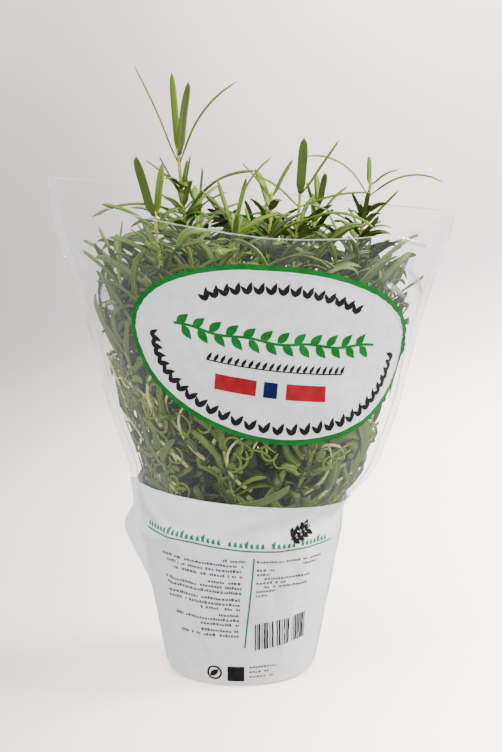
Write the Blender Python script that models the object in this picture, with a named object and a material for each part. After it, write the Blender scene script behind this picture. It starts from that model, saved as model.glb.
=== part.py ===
"""A potted rosemary in its printed film sleeve: pot, soil, rooted cuttings and sleeve.

Metres, +Z up. The origin is the middle of the pot's underside, and the sleeve's front faces -Y.
Every cutting is one grown piece, its leaves extruded from the sides of its square stem. The cuttings
are set out from a short list of roots and tips; each leaf then takes the nearest free place to its own
rule, so that no leaf touches another cutting, the pot or the film.
"""

import math
import random

import bmesh
import bpy
import numpy as np
from mathutils import Vector

# Pot: a thin moulded pot with a stiffening band under its lip and a recessed, drained floor.
POT_TOP_DIAMETER = 0.105
POT_BASE_DIAMETER = 0.075
POT_HEIGHT = 0.090
POT_WALL = 0.0011
POT_EDGE = 0.0012
BAND_HEIGHT = 0.011
BAND_STEP = 0.0020
LIP_WIDTH = 0.0018
FLOOR_RECESS = 0.0014
BOSS_RADIUS = 0.012
FOOT_WIDTH = 0.005
DRAIN_COUNT = 8
DRAIN_RADIUS = 0.0032
POT_SIDES = 40

# Soil: a peat plug with a planting hole for each cutting.
SOIL_BELOW_LIP = 0.014
SOIL_ROUGHNESS = 0.0009
SOCKET_DEPTH = 0.008
SOCKET_CLEARANCE = 0.0005

# Clearance between pieces that touch in the real thing.
GAP = 0.0003

# Sleeve: two flat film panels welded at their sides into a cone that the pot drops into.
FILM = 0.0005
FILM_TO_LIP = 0.0007
SLEEVE_LENGTH = 0.249
SLEEVE_LIFT = 0.0010
SEAM_WELD = 0.004
SEAM_RISE = 0.54
SKEW = 0.085
SKEW_RAMP = 0.11
PLEAT_WIDTH = 0.008
PLEAT_REACH = 0.036
LEAN = 0.007
LEAN_RAMP = 0.026
# Height above the pot's lip, then the growth of the half width and of the half depth over the lip's.
FLARE = (
    (0.000, 0.0000, 0.0000),
    (0.012, 0.0048, 0.0021),
    (0.028, 0.0108, 0.0042),
    (0.056, 0.0202, 0.0062),
    (0.090, 0.0282, 0.0090),
    (0.120, 0.0368, 0.0098),
    (0.150, 0.0469, 0.0098),
    (0.185, 0.0520, 0.0098),
)
LENS_SHARPNESS = 0.28
LENS_RAMP = 0.14
SLEEVE_SIDES = 44
SLEEVE_ROWS_BELOW_LIP = 3
SLEEVE_ROWS_ABOVE_LIP = 7

# Cuttings.
STEM_WIDTH = 0.0022
LEAF_THICKNESS = 0.0009
LEAF_SCALE = 1.0
LEAF_STEPS = 6
LEAF_TO_FILM = 0.0026
LEAF_EDGE_TO_FILM = 0.0009
LEAF_TRIES = 14
PAIR_SPACING = 0.0125
SEED = 11

# A cutting: its name, its root as a share of the soil's radius and a bearing in degrees, its tip across and
# along in lip radii and above the lip in metres, the height over the lip at which its leaves begin, and its
# own leaves. Bearings run from +X towards +Y, so 270 faces the front.
# A leaf: millimetres below the tip, bearing, length in millimetres, how far it opens from the stem and how far
# it then arches over in degrees, and its width in millimetres.
CUTTINGS = (
    ("cutting_tall_left", 0.30, 205, (-0.62, -0.34, 0.197), 0.035, (
        (3, 92, 43, 5, 4, 3.6),
        (3, 306, 43, 11, 16, 5.2),
        (7, 182, 56, 14, 10, 3.0),
        (7, 6, 53, 17, 50, 3.2),
        (24, 186, 23, 20, 4, 3.4),
        (24, 4, 21, 12, 6, 3.4),
        (35, 332, 54, 36, 58, 5.4),
        (35, 186, 50, 56, 62, 3.6),
        (41, 250, 36, 50, 62, 5.0),
        (41, 150, 24, 58, 30, 3.4),
    )),
    ("cutting_left_broad", 0.62, 188, (-0.85, -0.57, 0.166), 0.030, (
        (2, 235, 37, 14, 4, 6.2),
        (2, 60, 27, 16, 14, 4.4),
        (9, 160, 33, 42, 52, 3.8),
        (9, 350, 30, 34, 60, 4.0),
        (18, 255, 32, 56, 50, 5.0),
    )),
    ("cutting_front", 0.45, 262, (-0.07, -0.78, 0.167), 0.028, (
        (2, 12, 46, 14, 60, 2.9),
        (2, 190, 24, 40, 10, 3.4),
        (7, 50, 29, 18, 8, 2.9),
        (7, 130, 25, 22, 10, 2.9),
        (11, 214, 48, 60, 74, 5.0),
        (11, 20, 26, 52, 40, 4.2),
        (20, 250, 34, 58, 60, 5.4),
        (20, 80, 30, 56, 50, 4.2),
    )),
    ("cutting_centre", 0.12, 330, (0.31, -0.23, 0.173), 0.040, (
        (2, 196, 24, 34, 16, 3.2),
        (2, 28, 22, 20, 20, 3.2),
        (9, 280, 26, 44, 50, 4.6),
        (9, 110, 30, 40, 40, 4.0),
    )),
    ("cutting_right_centre", 0.42, 322, (0.60, -0.08, 0.173), 0.032, (
        (2, 268, 31, 8, 4, 5.0),
        (2, 345, 35, 28, 4, 4.8),
        (9, 0, 38, 60, 32, 3.4),
        (9, 176, 28, 42, 40, 3.4),
        (18, 338, 46, 52, 76, 4.8),
        (18, 200, 36, 56, 66, 4.4),
    )),
    ("cutting_right", 0.66, 8, (1.32, 0.30, 0.174), 0.028, (
        (2, 120, 15, 14, 8, 3.0),
        (2, 340, 17, 28, 50, 3.4),
        (8, 181, 43, 32, 82, 3.2),
        (8, 359, 43, 34, 80, 3.2),
        (17, 296, 22, 48, 36, 4.4),
        (25, 8, 27, 26, 10, 3.4),
        (25, 200, 36, 72, 14, 3.6),
    )),
    ("cutting_back_left", 0.50, 140, (-0.45, 0.57, 0.162), 0.040, ()),
    ("cutting_back_right", 0.50, 60, (0.81, 0.65, 0.160), 0.040, ()),
    ("cutting_left_edge", 0.86, 172, (-1.27, 0.08, 0.138), 0.032, ()),
    ("cutting_right_edge", 0.88, 344, (1.55, -0.11, 0.124), 0.032, ()),
    ("cutting_back", 0.30, 95, (0.16, 0.69, 0.146), 0.040, ()),
    ("cutting_low_front_left", 0.78, 236, (-0.66, -0.82, 0.114), 0.010, ()),
    ("cutting_low_front_right", 0.76, 296, (0.54, -0.88, 0.116), 0.010, ()),
    ("cutting_low_right", 0.72, 326, (1.08, -0.61, 0.106), 0.010, ()),
    ("cutting_low_left", 0.90, 208, (-1.17, -0.42, 0.096), 0.010, ()),
    ("cutting_low_back", 0.78, 82, (0.28, 0.88, 0.110), 0.010, ()),
    ("cutting_low_back_left", 0.80, 124, (-0.83, 0.72, 0.100), 0.010, ()),
    ("cutting_low_back_right", 0.80, 42, (1.15, 0.61, 0.098), 0.010, ()),
    ("cutting_skirt_front", 0.92, 268, (-0.18, -1.03, 0.052), 0.004, ()),
    ("cutting_skirt_front_right", 0.93, 306, (0.77, -0.88, 0.050), 0.004, ()),
    ("cutting_skirt_front_left", 0.96, 224, (-0.90, -0.69, 0.048), 0.004, ()),
    ("cutting_skirt_right", 0.96, 8, (1.30, 0.08, 0.052), 0.004, ()),
    ("cutting_skirt_left", 0.98, 184, (-1.17, 0.11, 0.056), 0.004, ()),
    ("cutting_skirt_back", 0.93, 98, (-0.07, 1.03, 0.052), 0.004, ()),
)


def clear_scene():
    for obj in list(bpy.data.objects):
        bpy.data.objects.remove(obj)


def material(name, colour, roughness, metallic=0.0, alpha=1.0):
    made = bpy.data.materials.new(name)
    made.use_nodes = True
    shader = made.node_tree.nodes["Principled BSDF"]
    shader.inputs["Base Color"].default_value = (*colour, 1.0)
    shader.inputs["Roughness"].default_value = roughness
    shader.inputs["Metallic"].default_value = metallic
    shader.inputs["Alpha"].default_value = alpha
    return made


def object_from(bm, name, look, smooth_angle=None, turn_outwards=True):
    """Makes a closed bmesh into a named object with one material."""
    if turn_outwards:
        bmesh.ops.recalc_face_normals(bm, faces=bm.faces)
    mesh = bpy.data.meshes.new(name)
    bm.to_mesh(mesh)
    bm.free()
    if smooth_angle is not None:
        mesh.shade_smooth()
        mesh.set_sharp_from_angle(angle=math.radians(smooth_angle))
    obj = bpy.data.objects.new(name, mesh)
    bpy.context.scene.collection.objects.link(obj)
    if look is not None:
        mesh.materials.append(look)
    return obj


def cut(obj, cutter):
    """Cuts a helper mesh out of an object and leaves the helper unrendered."""
    cutter.hide_render = True
    cutter.display_type = "WIRE"
    modifier = obj.modifiers.new("cut_" + cutter.name, "BOOLEAN")
    modifier.operation = "DIFFERENCE"
    modifier.object = cutter


def prisms(name, places, radius, low, high, sides):
    """Upright prisms as one cutting helper."""
    bm = bmesh.new()
    for x, y in places:
        made = bmesh.ops.create_cone(
            bm, cap_ends=True, segments=sides, radius1=radius, radius2=radius, depth=high - low
        )
        bmesh.ops.translate(bm, verts=made["verts"], vec=(x, y, (high + low) / 2))
    return object_from(bm, name, None)


def ease(value):
    value = min(1.0, max(0.0, value))
    return value * value * (3 - 2 * value)


# ---------------------------------------------------------------- pot

LIP_RADIUS = POT_TOP_DIAMETER / 2
BASE_RADIUS = POT_BASE_DIAMETER / 2
BAND_FOOT = POT_HEIGHT - BAND_HEIGHT
BAND_RADIUS = LIP_RADIUS - LIP_WIDTH / 2
WALL_TOP_RADIUS = BAND_RADIUS - BAND_STEP
THROAT_RADIUS = WALL_TOP_RADIUS - POT_WALL


def wall_radius(height):
    """Outer radius of the pot's plain wall, below its band."""
    return BASE_RADIUS + (WALL_TOP_RADIUS - BASE_RADIUS) * height / BAND_FOOT


def pot_profile():
    """The wall's section, out along the underside, up the outside and back down the inside."""
    foot_in = BASE_RADIUS - FOOT_WIDTH
    wall, edge = POT_WALL, POT_EDGE
    floor = FLOOR_RECESS + wall
    return (
        (0, 0),
        (BOSS_RADIUS, 0),
        (BOSS_RADIUS + edge, FLOOR_RECESS),
        (foot_in - edge, FLOOR_RECESS),
        (foot_in, 0),
        (BASE_RADIUS - edge, 0),
        (BASE_RADIUS, edge),
        (wall_radius(BAND_FOOT), BAND_FOOT),
        (BAND_RADIUS, BAND_FOOT + edge),
        (BAND_RADIUS, POT_HEIGHT - 2 * edge),
        (LIP_RADIUS, POT_HEIGHT - edge),
        (LIP_RADIUS, POT_HEIGHT),
        (BAND_RADIUS - wall, POT_HEIGHT),
        (BAND_RADIUS - wall, BAND_FOOT + edge + wall),
        (wall_radius(BAND_FOOT) - wall, BAND_FOOT + wall / 2),
        (wall_radius(floor) - wall, floor),
        (foot_in - edge - wall / 2, floor),
        (BOSS_RADIUS + edge + wall / 2, floor),
        (BOSS_RADIUS, floor),
        (0, floor),
    )


def build_pot():
    bm = bmesh.new()
    points = [bm.verts.new((radius, 0, height)) for radius, height in pot_profile()]
    edges = [bm.edges.new(pair) for pair in zip(points, points[1:])]
    bmesh.ops.spin(
        bm, geom=points + edges, cent=(0, 0, 0), axis=(0, 0, 1), angle=2 * math.pi,
        steps=POT_SIDES, use_duplicate=False,
    )
    bmesh.ops.remove_doubles(bm, verts=bm.verts, dist=1e-6)
    look = material("pot_plastic", (0.025, 0.024, 0.024), 0.45)
    pot = object_from(bm, "pot", look, smooth_angle=35)
    ring = (BOSS_RADIUS + BASE_RADIUS - FOOT_WIDTH) / 2
    holes = [
        (ring * math.cos(turn), ring * math.sin(turn))
        for turn in (2 * math.pi * i / DRAIN_COUNT for i in range(DRAIN_COUNT))
    ]
    cut(pot, prisms("drain_cutter", holes, DRAIN_RADIUS, -0.01, 0.01, 10))


# ---------------------------------------------------------------- soil

SOIL_TOP = POT_HEIGHT - SOIL_BELOW_LIP
SOIL_FLOOR = FLOOR_RECESS + POT_WALL + GAP
# The pot's facets bring its inner wall in by this much between its corners.
FACET_LOSS = LIP_RADIUS * (1 - math.cos(math.pi / POT_SIDES))


def soil_radius(height):
    return wall_radius(height) - POT_WALL - GAP - FACET_LOSS


def root_place(share, bearing):
    reach = share * (soil_radius(SOIL_TOP) - 0.007)
    turn = math.radians(bearing)
    return reach * math.cos(turn), reach * math.sin(turn)


def soil_bumps(x, y):
    """A crumbly top, level at the wall."""
    rough = math.sin(310 * x + 1.3) * math.sin(270 * y) + 0.6 * math.sin(640 * x - 480 * y)
    return SOIL_ROUGHNESS * rough * ease((soil_radius(SOIL_TOP) - math.hypot(x, y)) / 0.008)


def build_soil():
    bm = bmesh.new()
    top = soil_radius(SOIL_TOP - 0.001)
    rings = [top * share for share in (0.25, 0.5, 0.75, 0.93)]
    profile = [(0, SOIL_FLOOR), (soil_radius(SOIL_FLOOR), SOIL_FLOOR), (top, SOIL_TOP - 0.001)]
    profile += [(radius, SOIL_TOP) for radius in reversed(rings)] + [(0, SOIL_TOP)]
    points = [bm.verts.new((radius, 0, height)) for radius, height in profile]
    edges = [bm.edges.new(pair) for pair in zip(points, points[1:])]
    bmesh.ops.spin(
        bm, geom=points + edges, cent=(0, 0, 0), axis=(0, 0, 1), angle=2 * math.pi,
        steps=28, use_duplicate=False,
    )
    bmesh.ops.remove_doubles(bm, verts=bm.verts, dist=1e-6)
    for vert in bm.verts:
        if vert.co.z > SOIL_TOP - 0.0005:
            vert.co.z += soil_bumps(vert.co.x, vert.co.y)
    look = material("peat", (0.045, 0.028, 0.018), 0.95)
    soil = object_from(bm, "soil", look)
    roots = [root_place(share, bearing) for _, share, bearing, *_ in CUTTINGS]
    reach = (STEM_WIDTH / math.sqrt(2) + SOCKET_CLEARANCE) / math.cos(math.pi / 6)
    cut(soil, prisms("socket_cutter", roots, reach, SOIL_TOP - SOCKET_DEPTH, POT_HEIGHT, 6))


# ---------------------------------------------------------------- sleeve

SLEEVE_LIP_RADIUS = LIP_RADIUS + FILM_TO_LIP + FILM / 2
SLEEVE_FOOT_RADIUS = BASE_RADIUS + FILM_TO_LIP + FILM / 2
CONE_ANGLE = math.atan((SLEEVE_LIP_RADIUS - SLEEVE_FOOT_RADIUS) / BAND_FOOT)
# The flat panels are wedges: their apex lies this far below the sleeve's foot, and they open this much.
APEX = SLEEVE_FOOT_RADIUS / math.sin(CONE_ANGLE)
PANEL_HALF_ANGLE = math.pi / 2 * math.sin(CONE_ANGLE)


def through(keys, where):
    """A smooth curve through rows of (position, value, value), held level past its ends."""
    where = min(keys[-1][0], max(keys[0][0], where))
    at = max(i for i in range(len(keys) - 1) if keys[i][0] <= where)
    a, b = keys[at], keys[at + 1]
    before, after = keys[max(at - 1, 0)], keys[min(at + 2, len(keys) - 1)]
    t = (where - a[0]) / (b[0] - a[0])
    values = []
    for k in (1, 2):
        slope_a = (b[k] - before[k]) / (b[0] - before[0]) * (b[0] - a[0])
        slope_b = (after[k] - a[k]) / (after[0] - a[0]) * (b[0] - a[0])
        values.append(
            (2 * t**3 - 3 * t**2 + 1) * a[k] + (t**3 - 2 * t**2 + t) * slope_a
            + (3 * t**2 - 2 * t**3) * b[k] + (t**3 - t**2) * slope_b
        )
    return values


def sleeve_outline(height):
    """Centre, half width, half depth and superellipse power of the film's middle surface at a height."""
    if height <= POT_HEIGHT:
        share = min(1.0, height / BAND_FOOT)
        radius = SLEEVE_FOOT_RADIUS + (SLEEVE_LIP_RADIUS - SLEEVE_FOOT_RADIUS) * share
        return 0.0, radius, radius, 2.0
    above = height - POT_HEIGHT
    wide, deep = through(FLARE, above)
    power = 2 - LENS_SHARPNESS * ease(above / LENS_RAMP)
    return LEAN * ease(above / LEAN_RAMP), SLEEVE_LIP_RADIUS + wide, SLEEVE_LIP_RADIUS + deep, power


def sleeve_point(turn, height, inset=0.0):
    """A point on the film, moved inwards by inset. turn is the outline's parameter, 0 at the right seam."""
    centre, wide, deep, power = sleeve_outline(height)
    c, s = math.cos(turn), math.sin(turn)
    x = centre + math.copysign(abs(c) ** (2 / power), c) * (wide - inset)
    y = math.copysign(abs(s) ** (2 / power), s) * (deep - inset)
    return Vector((x, y, height))


def printed_height(turn, height):
    """Where a straight line across the flat panel lies on the standing sleeve: it climbs to both seams,
    and the sleeve sits a little skewed, higher on the left."""
    share = abs(((turn - math.pi / 2) + math.pi / 2) % math.pi - math.pi / 2) / (math.pi / 2)
    climb = (APEX + height) * (1 / math.cos(PANEL_HALF_ANGLE * share) - 1)
    climb *= 1 - (1 - SEAM_RISE) * ease(height / SLEEVE_LENGTH)
    wide = sleeve_outline(height)[1]
    return SLEEVE_LIFT + height + climb - SKEW * wide * math.cos(turn) * ease(height / SKEW_RAMP)


def seam_width(side, height):
    """How far the welded seam stands out: it lies folded beside the pot and opens above it. The left one
    also takes up the spare film beside the lip."""
    weld = SEAM_WELD * (0.25 + 0.75 * ease((height - BAND_FOOT) / 0.03))
    if side > 0:
        return weld
    away = (BAND_FOOT - height) / PLEAT_REACH
    return weld + PLEAT_WIDTH * ease(1 - (away if away > 0 else -2 * away))


def sleeve_loops(rows_of, turns):
    """Rings of outer and inner points, seam fins included, for each row of the film."""
    outer, inner = [], []
    for row in rows_of:
        out_ring, in_ring = [], []
        for turn in turns:
            height = row(turn)
            half = FILM / 2
            if abs(math.sin(turn)) > 1e-6:
                out_ring.append(sleeve_point(turn, height, -half))
                in_ring.append(sleeve_point(turn, height, half))
                continue
            side = 1 if math.cos(turn) > 0 else -1
            edge = sleeve_point(turn, height, -half).x
            tip = edge + side * seam_width(side, height)
            inside = sleeve_point(turn, height, half).x
            for x, y, y_in in (
                (edge - side * 0.0002, -1.2, -0.9),
                (tip, -0.6, -0.3),
                (tip, 0.6, 0.3),
                (edge - side * 0.0002, 1.2, 0.9),
            ):
                out_ring.append(Vector((x, side * y * half, height)))
                in_ring.append(Vector((inside - side * 0.0002, side * y_in * half, height)))
        outer.append(out_ring)
        inner.append(in_ring)
    return outer, inner


def row_heights():
    """Each row as a function of the turn: from the cut foot past the pot's band to the cut mouth."""
    rows = []
    for i in range(SLEEVE_ROWS_BELOW_LIP + 1):
        share = i / SLEEVE_ROWS_BELOW_LIP
        rows.append(lambda turn, t=share: printed_height(turn, 0) * (1 - t) + BAND_FOOT * t)
    for i in range(SLEEVE_ROWS_ABOVE_LIP + 1):
        share = i / SLEEVE_ROWS_ABOVE_LIP
        rows.append(
            lambda turn, t=share: POT_HEIGHT * (1 - t) + printed_height(turn, SLEEVE_LENGTH) * t
        )
    return rows


def build_sleeve():
    turns = [2 * math.pi * i / SLEEVE_SIDES for i in range(SLEEVE_SIDES)]
    outer, inner = sleeve_loops(row_heights(), turns)
    bm = bmesh.new()
    out_rings = [[bm.verts.new(point) for point in ring] for ring in outer]
    in_rings = [[bm.verts.new(point) for point in ring] for ring in inner]
    pairs = list(zip(out_rings, out_rings[1:])) + list(zip(in_rings, in_rings[1:]))
    pairs += [(out_rings[end], in_rings[end]) for end in (0, -1)]
    for low, high in pairs:
        for a, b, c, d in zip(low, low[1:] + low[:1], high, high[1:] + high[:1]):
            bm.faces.new((a, b, d, c))
    look = material("sleeve_film", (0.85, 0.87, 0.88), 0.15, alpha=0.35)
    object_from(bm, "film_sleeve", look, smooth_angle=50)


# ---------------------------------------------------------------- room for the plants


def film_measure(point):
    """Below 1 inside the film's outline at the point's height, 1 on it."""
    centre, wide, deep, power = sleeve_outline(point.z)
    return abs((point.x - centre) / wide) ** power + abs(point.y / deep) ** power


def mouth_height(point):
    """Height of the film's cut mouth on the point's own bearing."""
    centre, wide, deep, power = sleeve_outline(POT_HEIGHT + 0.16)
    x = point.x - centre
    turn = math.atan2(
        math.copysign(abs(point.y / deep) ** (power / 2), point.y),
        math.copysign(abs(x / wide) ** (power / 2), x),
    )
    return printed_height(turn, SLEEVE_LENGTH)


def film_normal(point):
    """Outward level direction of the film nearest the point."""
    centre, wide, deep, power = sleeve_outline(point.z)
    off = point.x - centre
    x = math.copysign(abs(off / wide) ** (power - 1), off) / wide
    y = math.copysign(abs(point.y / deep) ** (power - 1), point.y) / deep
    return Vector((x, y, 0)).normalized() if x or y else Vector((0, 1, 0))


def keep_in(point, margin):
    """Moves a point that would leave the pot or the sleeve back inside by the margin."""
    point = point.copy()
    point.z = max(point.z, SOIL_TOP + 0.003)
    if point.z < POT_HEIGHT + margin and math.hypot(point.x, point.y) > THROAT_RADIUS - margin:
        point.z = POT_HEIGHT + margin
    if point.z > mouth_height(point) + 0.003:
        return point
    centre, wide, deep, power = sleeve_outline(point.z)
    wide, deep = wide - margin, deep - margin
    measure = abs((point.x - centre) / wide) ** power + abs(point.y / deep) ** power
    if measure > 1:
        scale = measure ** (-1 / power)
        point.x = centre + (point.x - centre) * scale
        point.y *= scale
    return point


def meets_edge(point, radius):
    """Whether a ball there would touch the pot's lip or the cut edge of the film."""
    slack = GAP + radius * 0.3
    reach = math.hypot(point.x, point.y)
    on_lip = point.z < POT_HEIGHT + slack and reach > THROAT_RADIUS - slack
    edge = mouth_height(point)
    near_edge = abs(point.z - edge) < 0.004 + radius and abs(film_measure(point) - 1) < 0.06
    return on_lip or near_edge


class Taken:
    """The space that placed stems and leaves hold, as chains of balls."""

    def __init__(self):
        self.centres = np.empty((0, 3))
        self.radii = np.empty(0)
        self.owners = np.empty(0, int)
        self.loose = np.empty(0, bool)

    def add(self, points, radii, owner, loose):
        self.centres = np.concatenate([self.centres, np.array(points, float).reshape(-1, 3)])
        self.radii = np.concatenate([self.radii, radii])
        self.owners = np.concatenate([self.owners, np.full(len(points), owner)])
        self.loose = np.concatenate([self.loose, loose])

    def blocks(self, points, radii, owner):
        """Whether balls would touch another cutting, or the free ends of the same one's leaves."""
        if not len(self.centres):
            return False
        points = np.array(points, float).reshape(-1, 3)
        away = np.linalg.norm(points[:, None] - self.centres[None], axis=2)
        need = np.array(radii)[:, None] + self.radii[None]
        other = self.owners != owner
        if (away[:, other] < need[:, other] + GAP + 0.0003).any():
            return True
        own = ~other & self.loose
        outer = len(points) // 3
        return bool((away[outer:, own] < 0.55 * need[outer:, own]).any())


def chain(points, spacing=0.002):
    """Points no further apart than spacing along a polyline."""
    found = [points[0]]
    for a, b in zip(points, points[1:]):
        count = max(1, math.ceil((b - a).length / spacing))
        found += [a.lerp(b, (i + 1) / count) for i in range(count)]
    return found


# ---------------------------------------------------------------- cuttings


class Stem:
    """A cutting's stem: a smooth line from its socket to its tip, with a steady frame along it."""

    def __init__(self, root, tip, sway, turn):
        foot = Vector((root[0], root[1], SOIL_TOP + 0.002))
        tip = Vector((tip[0] * LIP_RADIUS, tip[1] * LIP_RADIUS, POT_HEIGHT + tip[2]))
        climb = tip.z - foot.z
        over = Vector((root[0], root[1], 0)) * 0.12
        lower = foot + Vector((0, 0, 0.42 * climb)) + over + sway
        upper = tip - Vector(((tip.x - foot.x) * 0.22, (tip.y - foot.y) * 0.22, 0.34 * climb)) + sway * 0.6
        self.points = [foot - Vector((0, 0, 0.002 + SOCKET_DEPTH - 2 * GAP))]
        for i in range(25):
            t = i / 24
            point = (
                foot * (1 - t) ** 3 + lower * 3 * t * (1 - t) ** 2
                + upper * 3 * t * t * (1 - t) + tip * t**3
            )
            self.points.append(keep_in(point, 0.0045) if point.z > POT_HEIGHT - 0.004 else point)
        steps = [(b - a).length for a, b in zip(self.points, self.points[1:])]
        self.along = [sum(steps[:i]) for i in range(len(steps) + 1)]
        self.length = self.along[-1]
        self.turn = turn

    def at(self, distance):
        """Point and direction at a distance from the foot."""
        distance = min(self.length, max(0.0, distance))
        i = max(k for k in range(len(self.points) - 1) if self.along[k] <= distance)
        share = (distance - self.along[i]) / (self.along[i + 1] - self.along[i])
        point = self.points[i].lerp(self.points[i + 1], share)
        last = len(self.points) - 1
        ahead = [
            (self.points[min(k + 1, last)] - self.points[max(k - 1, 0)]).normalized() for k in (i, i + 1)
        ]
        return point, ahead[0].lerp(ahead[1], share).normalized()

    def distance_at_height(self, height):
        for i, point in enumerate(self.points):
            if point.z >= height:
                return self.along[i]
        return self.length

    def bearing(self, direction, degrees):
        """The direction square to the stem that faces a bearing."""
        turn = math.radians(degrees)
        flat = Vector((math.cos(turn), math.sin(turn), 0))
        return (flat - direction * flat.dot(direction)).normalized()

    def ring(self, distance, half):
        """The four corners of the square stem."""
        point, direction = self.at(distance)
        first = self.bearing(direction, self.turn)
        second = direction.cross(first).normalized()
        return [
            point + half * (a * first + b * second) for a, b in ((1, -1), (1, 1), (-1, 1), (-1, -1))
        ]


class Leaf:
    """A needle leaf: its spine, half widths and the two directions across it."""

    def __init__(self, stem, distance, bearing, length, opening, arch, width):
        point, direction = stem.at(distance)
        outward = stem.bearing(direction, bearing)
        across = direction.cross(outward).normalized()
        self.distance, self.outward, self.width = distance, outward, width
        self.direction, self.across = direction, across
        spine = [point + outward * STEM_WIDTH / 2]
        for i in range(LEAF_STEPS):
            share = (i + 0.5) / LEAF_STEPS
            angle = math.radians(opening + arch * share**1.25)
            heading = direction * math.cos(angle) + outward * math.sin(angle)
            spine.append(keep_in(spine[-1] + heading * length / LEAF_STEPS, LEAF_TO_FILM))
        self.spine = spine
        self.sides, self.uppers = [], []
        for i, place in enumerate(spine):
            ahead = spine[min(i + 1, LEAF_STEPS)] - spine[max(i - 1, 0)]
            ahead = ahead.normalized() if ahead.length > 1e-9 else direction
            side = across
            if place.z > POT_HEIGHT and place.z < mouth_height(place):
                pressed = ahead.cross(film_normal(place))
                if pressed.length > 1e-6:
                    pressed = pressed.normalized() * (1 if pressed.dot(across) >= 0 else -1)
                    near = ease((film_measure(place) - 0.72) / 0.2)
                    side = across.lerp(pressed, near)
            side = (side - ahead * side.dot(ahead)).normalized()
            self.sides.append(side)
            self.uppers.append(ahead.cross(side))

    def half_width(self, share):
        """Widest at the middle, narrow at the stalk and blunt at the tip."""
        shape = (0.42 + 0.58 * ease(share / 0.3)) * (1 - max(0.0, share - 0.6) ** 2 / 0.16) ** 0.5
        return self.width / 2 * shape if share < 1 else 0.0

    def balls(self):
        """Balls along the drawn spine and along the straight pieces that the solid leaf follows."""
        chords = chain([self.spine[i] for i in range(0, LEAF_STEPS + 1, 2)])
        points = chords + self.spine[1:]
        shares = [i / (len(chords) - 1) for i in range(len(chords))]
        shares += [i / LEAF_STEPS for i in range(1, LEAF_STEPS + 1)]
        return points, [max(self.half_width(s), LEAF_THICKNESS) for s in shares], shares

    def section(self, index, half, thick):
        """The leaf's four corners there, as a function of which side and which face."""
        place, side, upper = self.spine[index], self.sides[index], self.uppers[index]
        return lambda h, v: keep_in(
            place + side * h * half + upper * v * thick / 2, LEAF_EDGE_TO_FILM
        )


def extrude_to(bm, face, corners):
    """Replaces a face by a tube of four faces that ends in a new face on the given corners."""
    rim = list(face.verts)
    new = [bm.verts.new(corner) for corner in corners]
    bm.faces.remove(face)
    for a, b, c, d in zip(rim, rim[1:] + rim[:1], new, new[1:] + new[:1]):
        bm.faces.new((a, b, d, c))
    return bm.faces.new(new)


def grow_leaf(bm, face, leaf):
    """Draws a leaf out of a side face of the stem and closes it at its tip."""
    middle = face.calc_center_median()
    offsets = [vert.co - middle for vert in face.verts]
    signs = [
        (1 if o.dot(leaf.across) > 0 else -1, 1 if o.dot(leaf.direction) > 0 else -1) for o in offsets
    ]
    for index in (2, 4):
        corner = leaf.section(index, leaf.half_width(index / LEAF_STEPS), LEAF_THICKNESS)
        face = extrude_to(bm, face, [corner(h, v) for h, v in signs])
    rim = list(face.verts)
    tip = bm.verts.new(leaf.spine[LEAF_STEPS])
    bm.faces.remove(face)
    for a, b in zip(rim, rim[1:] + rim[:1]):
        bm.faces.new((a, b, tip))


def grow_stem(bm, stem, nodes):
    """Raises the square stem ring by ring. Returns the four side faces at each node."""
    stations = [(0.0, None), (SOCKET_DEPTH + 0.001, None)]
    for node in nodes:
        if node - 0.001 - stations[-1][0] > 0.022:
            stations.append(((stations[-1][0] + node) / 2, None))
        stations += [(node - 0.001, None), (node + 0.001, node)]
    stations.append((max(stem.length, stations[-1][0] + 0.0015), None))
    low = [bm.verts.new(corner) for corner in stem.ring(0.0, STEM_WIDTH / 2)]
    bm.faces.new(low[::-1])
    sides = {}
    for distance, node in stations[1:]:
        half = STEM_WIDTH / 2 * (1 - 0.35 * ease(distance / stem.length))
        high = [bm.verts.new(corner) for corner in stem.ring(distance, half)]
        sides[node] = [
            bm.faces.new((a, b, d, c))
            for a, b, c, d in zip(low, low[1:] + low[:1], high, high[1:] + high[:1])
        ]
        low = high
    bm.faces.new(low)
    return sides


def spec_leaves(stem, first_leaf, own, chooser):
    """Every leaf of a cutting: its own first, then opposite pairs down the stem, each turned a quarter."""
    wanted = []
    lowest = stem.distance_at_height(POT_HEIGHT + first_leaf)
    for below, bearing, length, opening, arch, width in own:
        distance = stem.length - below / 1000
        wanted.append((distance, bearing, length / 1000, opening, arch, width / 1000, True))
    distance = min([w[0] for w in wanted], default=stem.length + 0.006) - 0.008
    pair = len({w[0] for w in wanted})
    turn = chooser.uniform(0, 180)
    while distance > lowest:
        age = min(1.0, pair / 5)
        for half_turn in (0, 180):
            bearing = turn + 90 * pair + half_turn + chooser.uniform(-14, 14)
            length = (0.017 + 0.019 * age) * chooser.uniform(0.85, 1.15)
            opening = 14 + 50 * age + chooser.uniform(-8, 8)
            arch = 12 + 48 * age + chooser.uniform(-14, 22)
            width = (0.0034 + 0.0014 * age) * chooser.uniform(0.85, 1.15)
            wanted.append((distance, bearing, length, opening, arch, width, False))
        pair += 1
        distance -= PAIR_SPACING * (0.55 + 0.45 * age) * chooser.uniform(0.9, 1.15)
    return wanted


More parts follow.
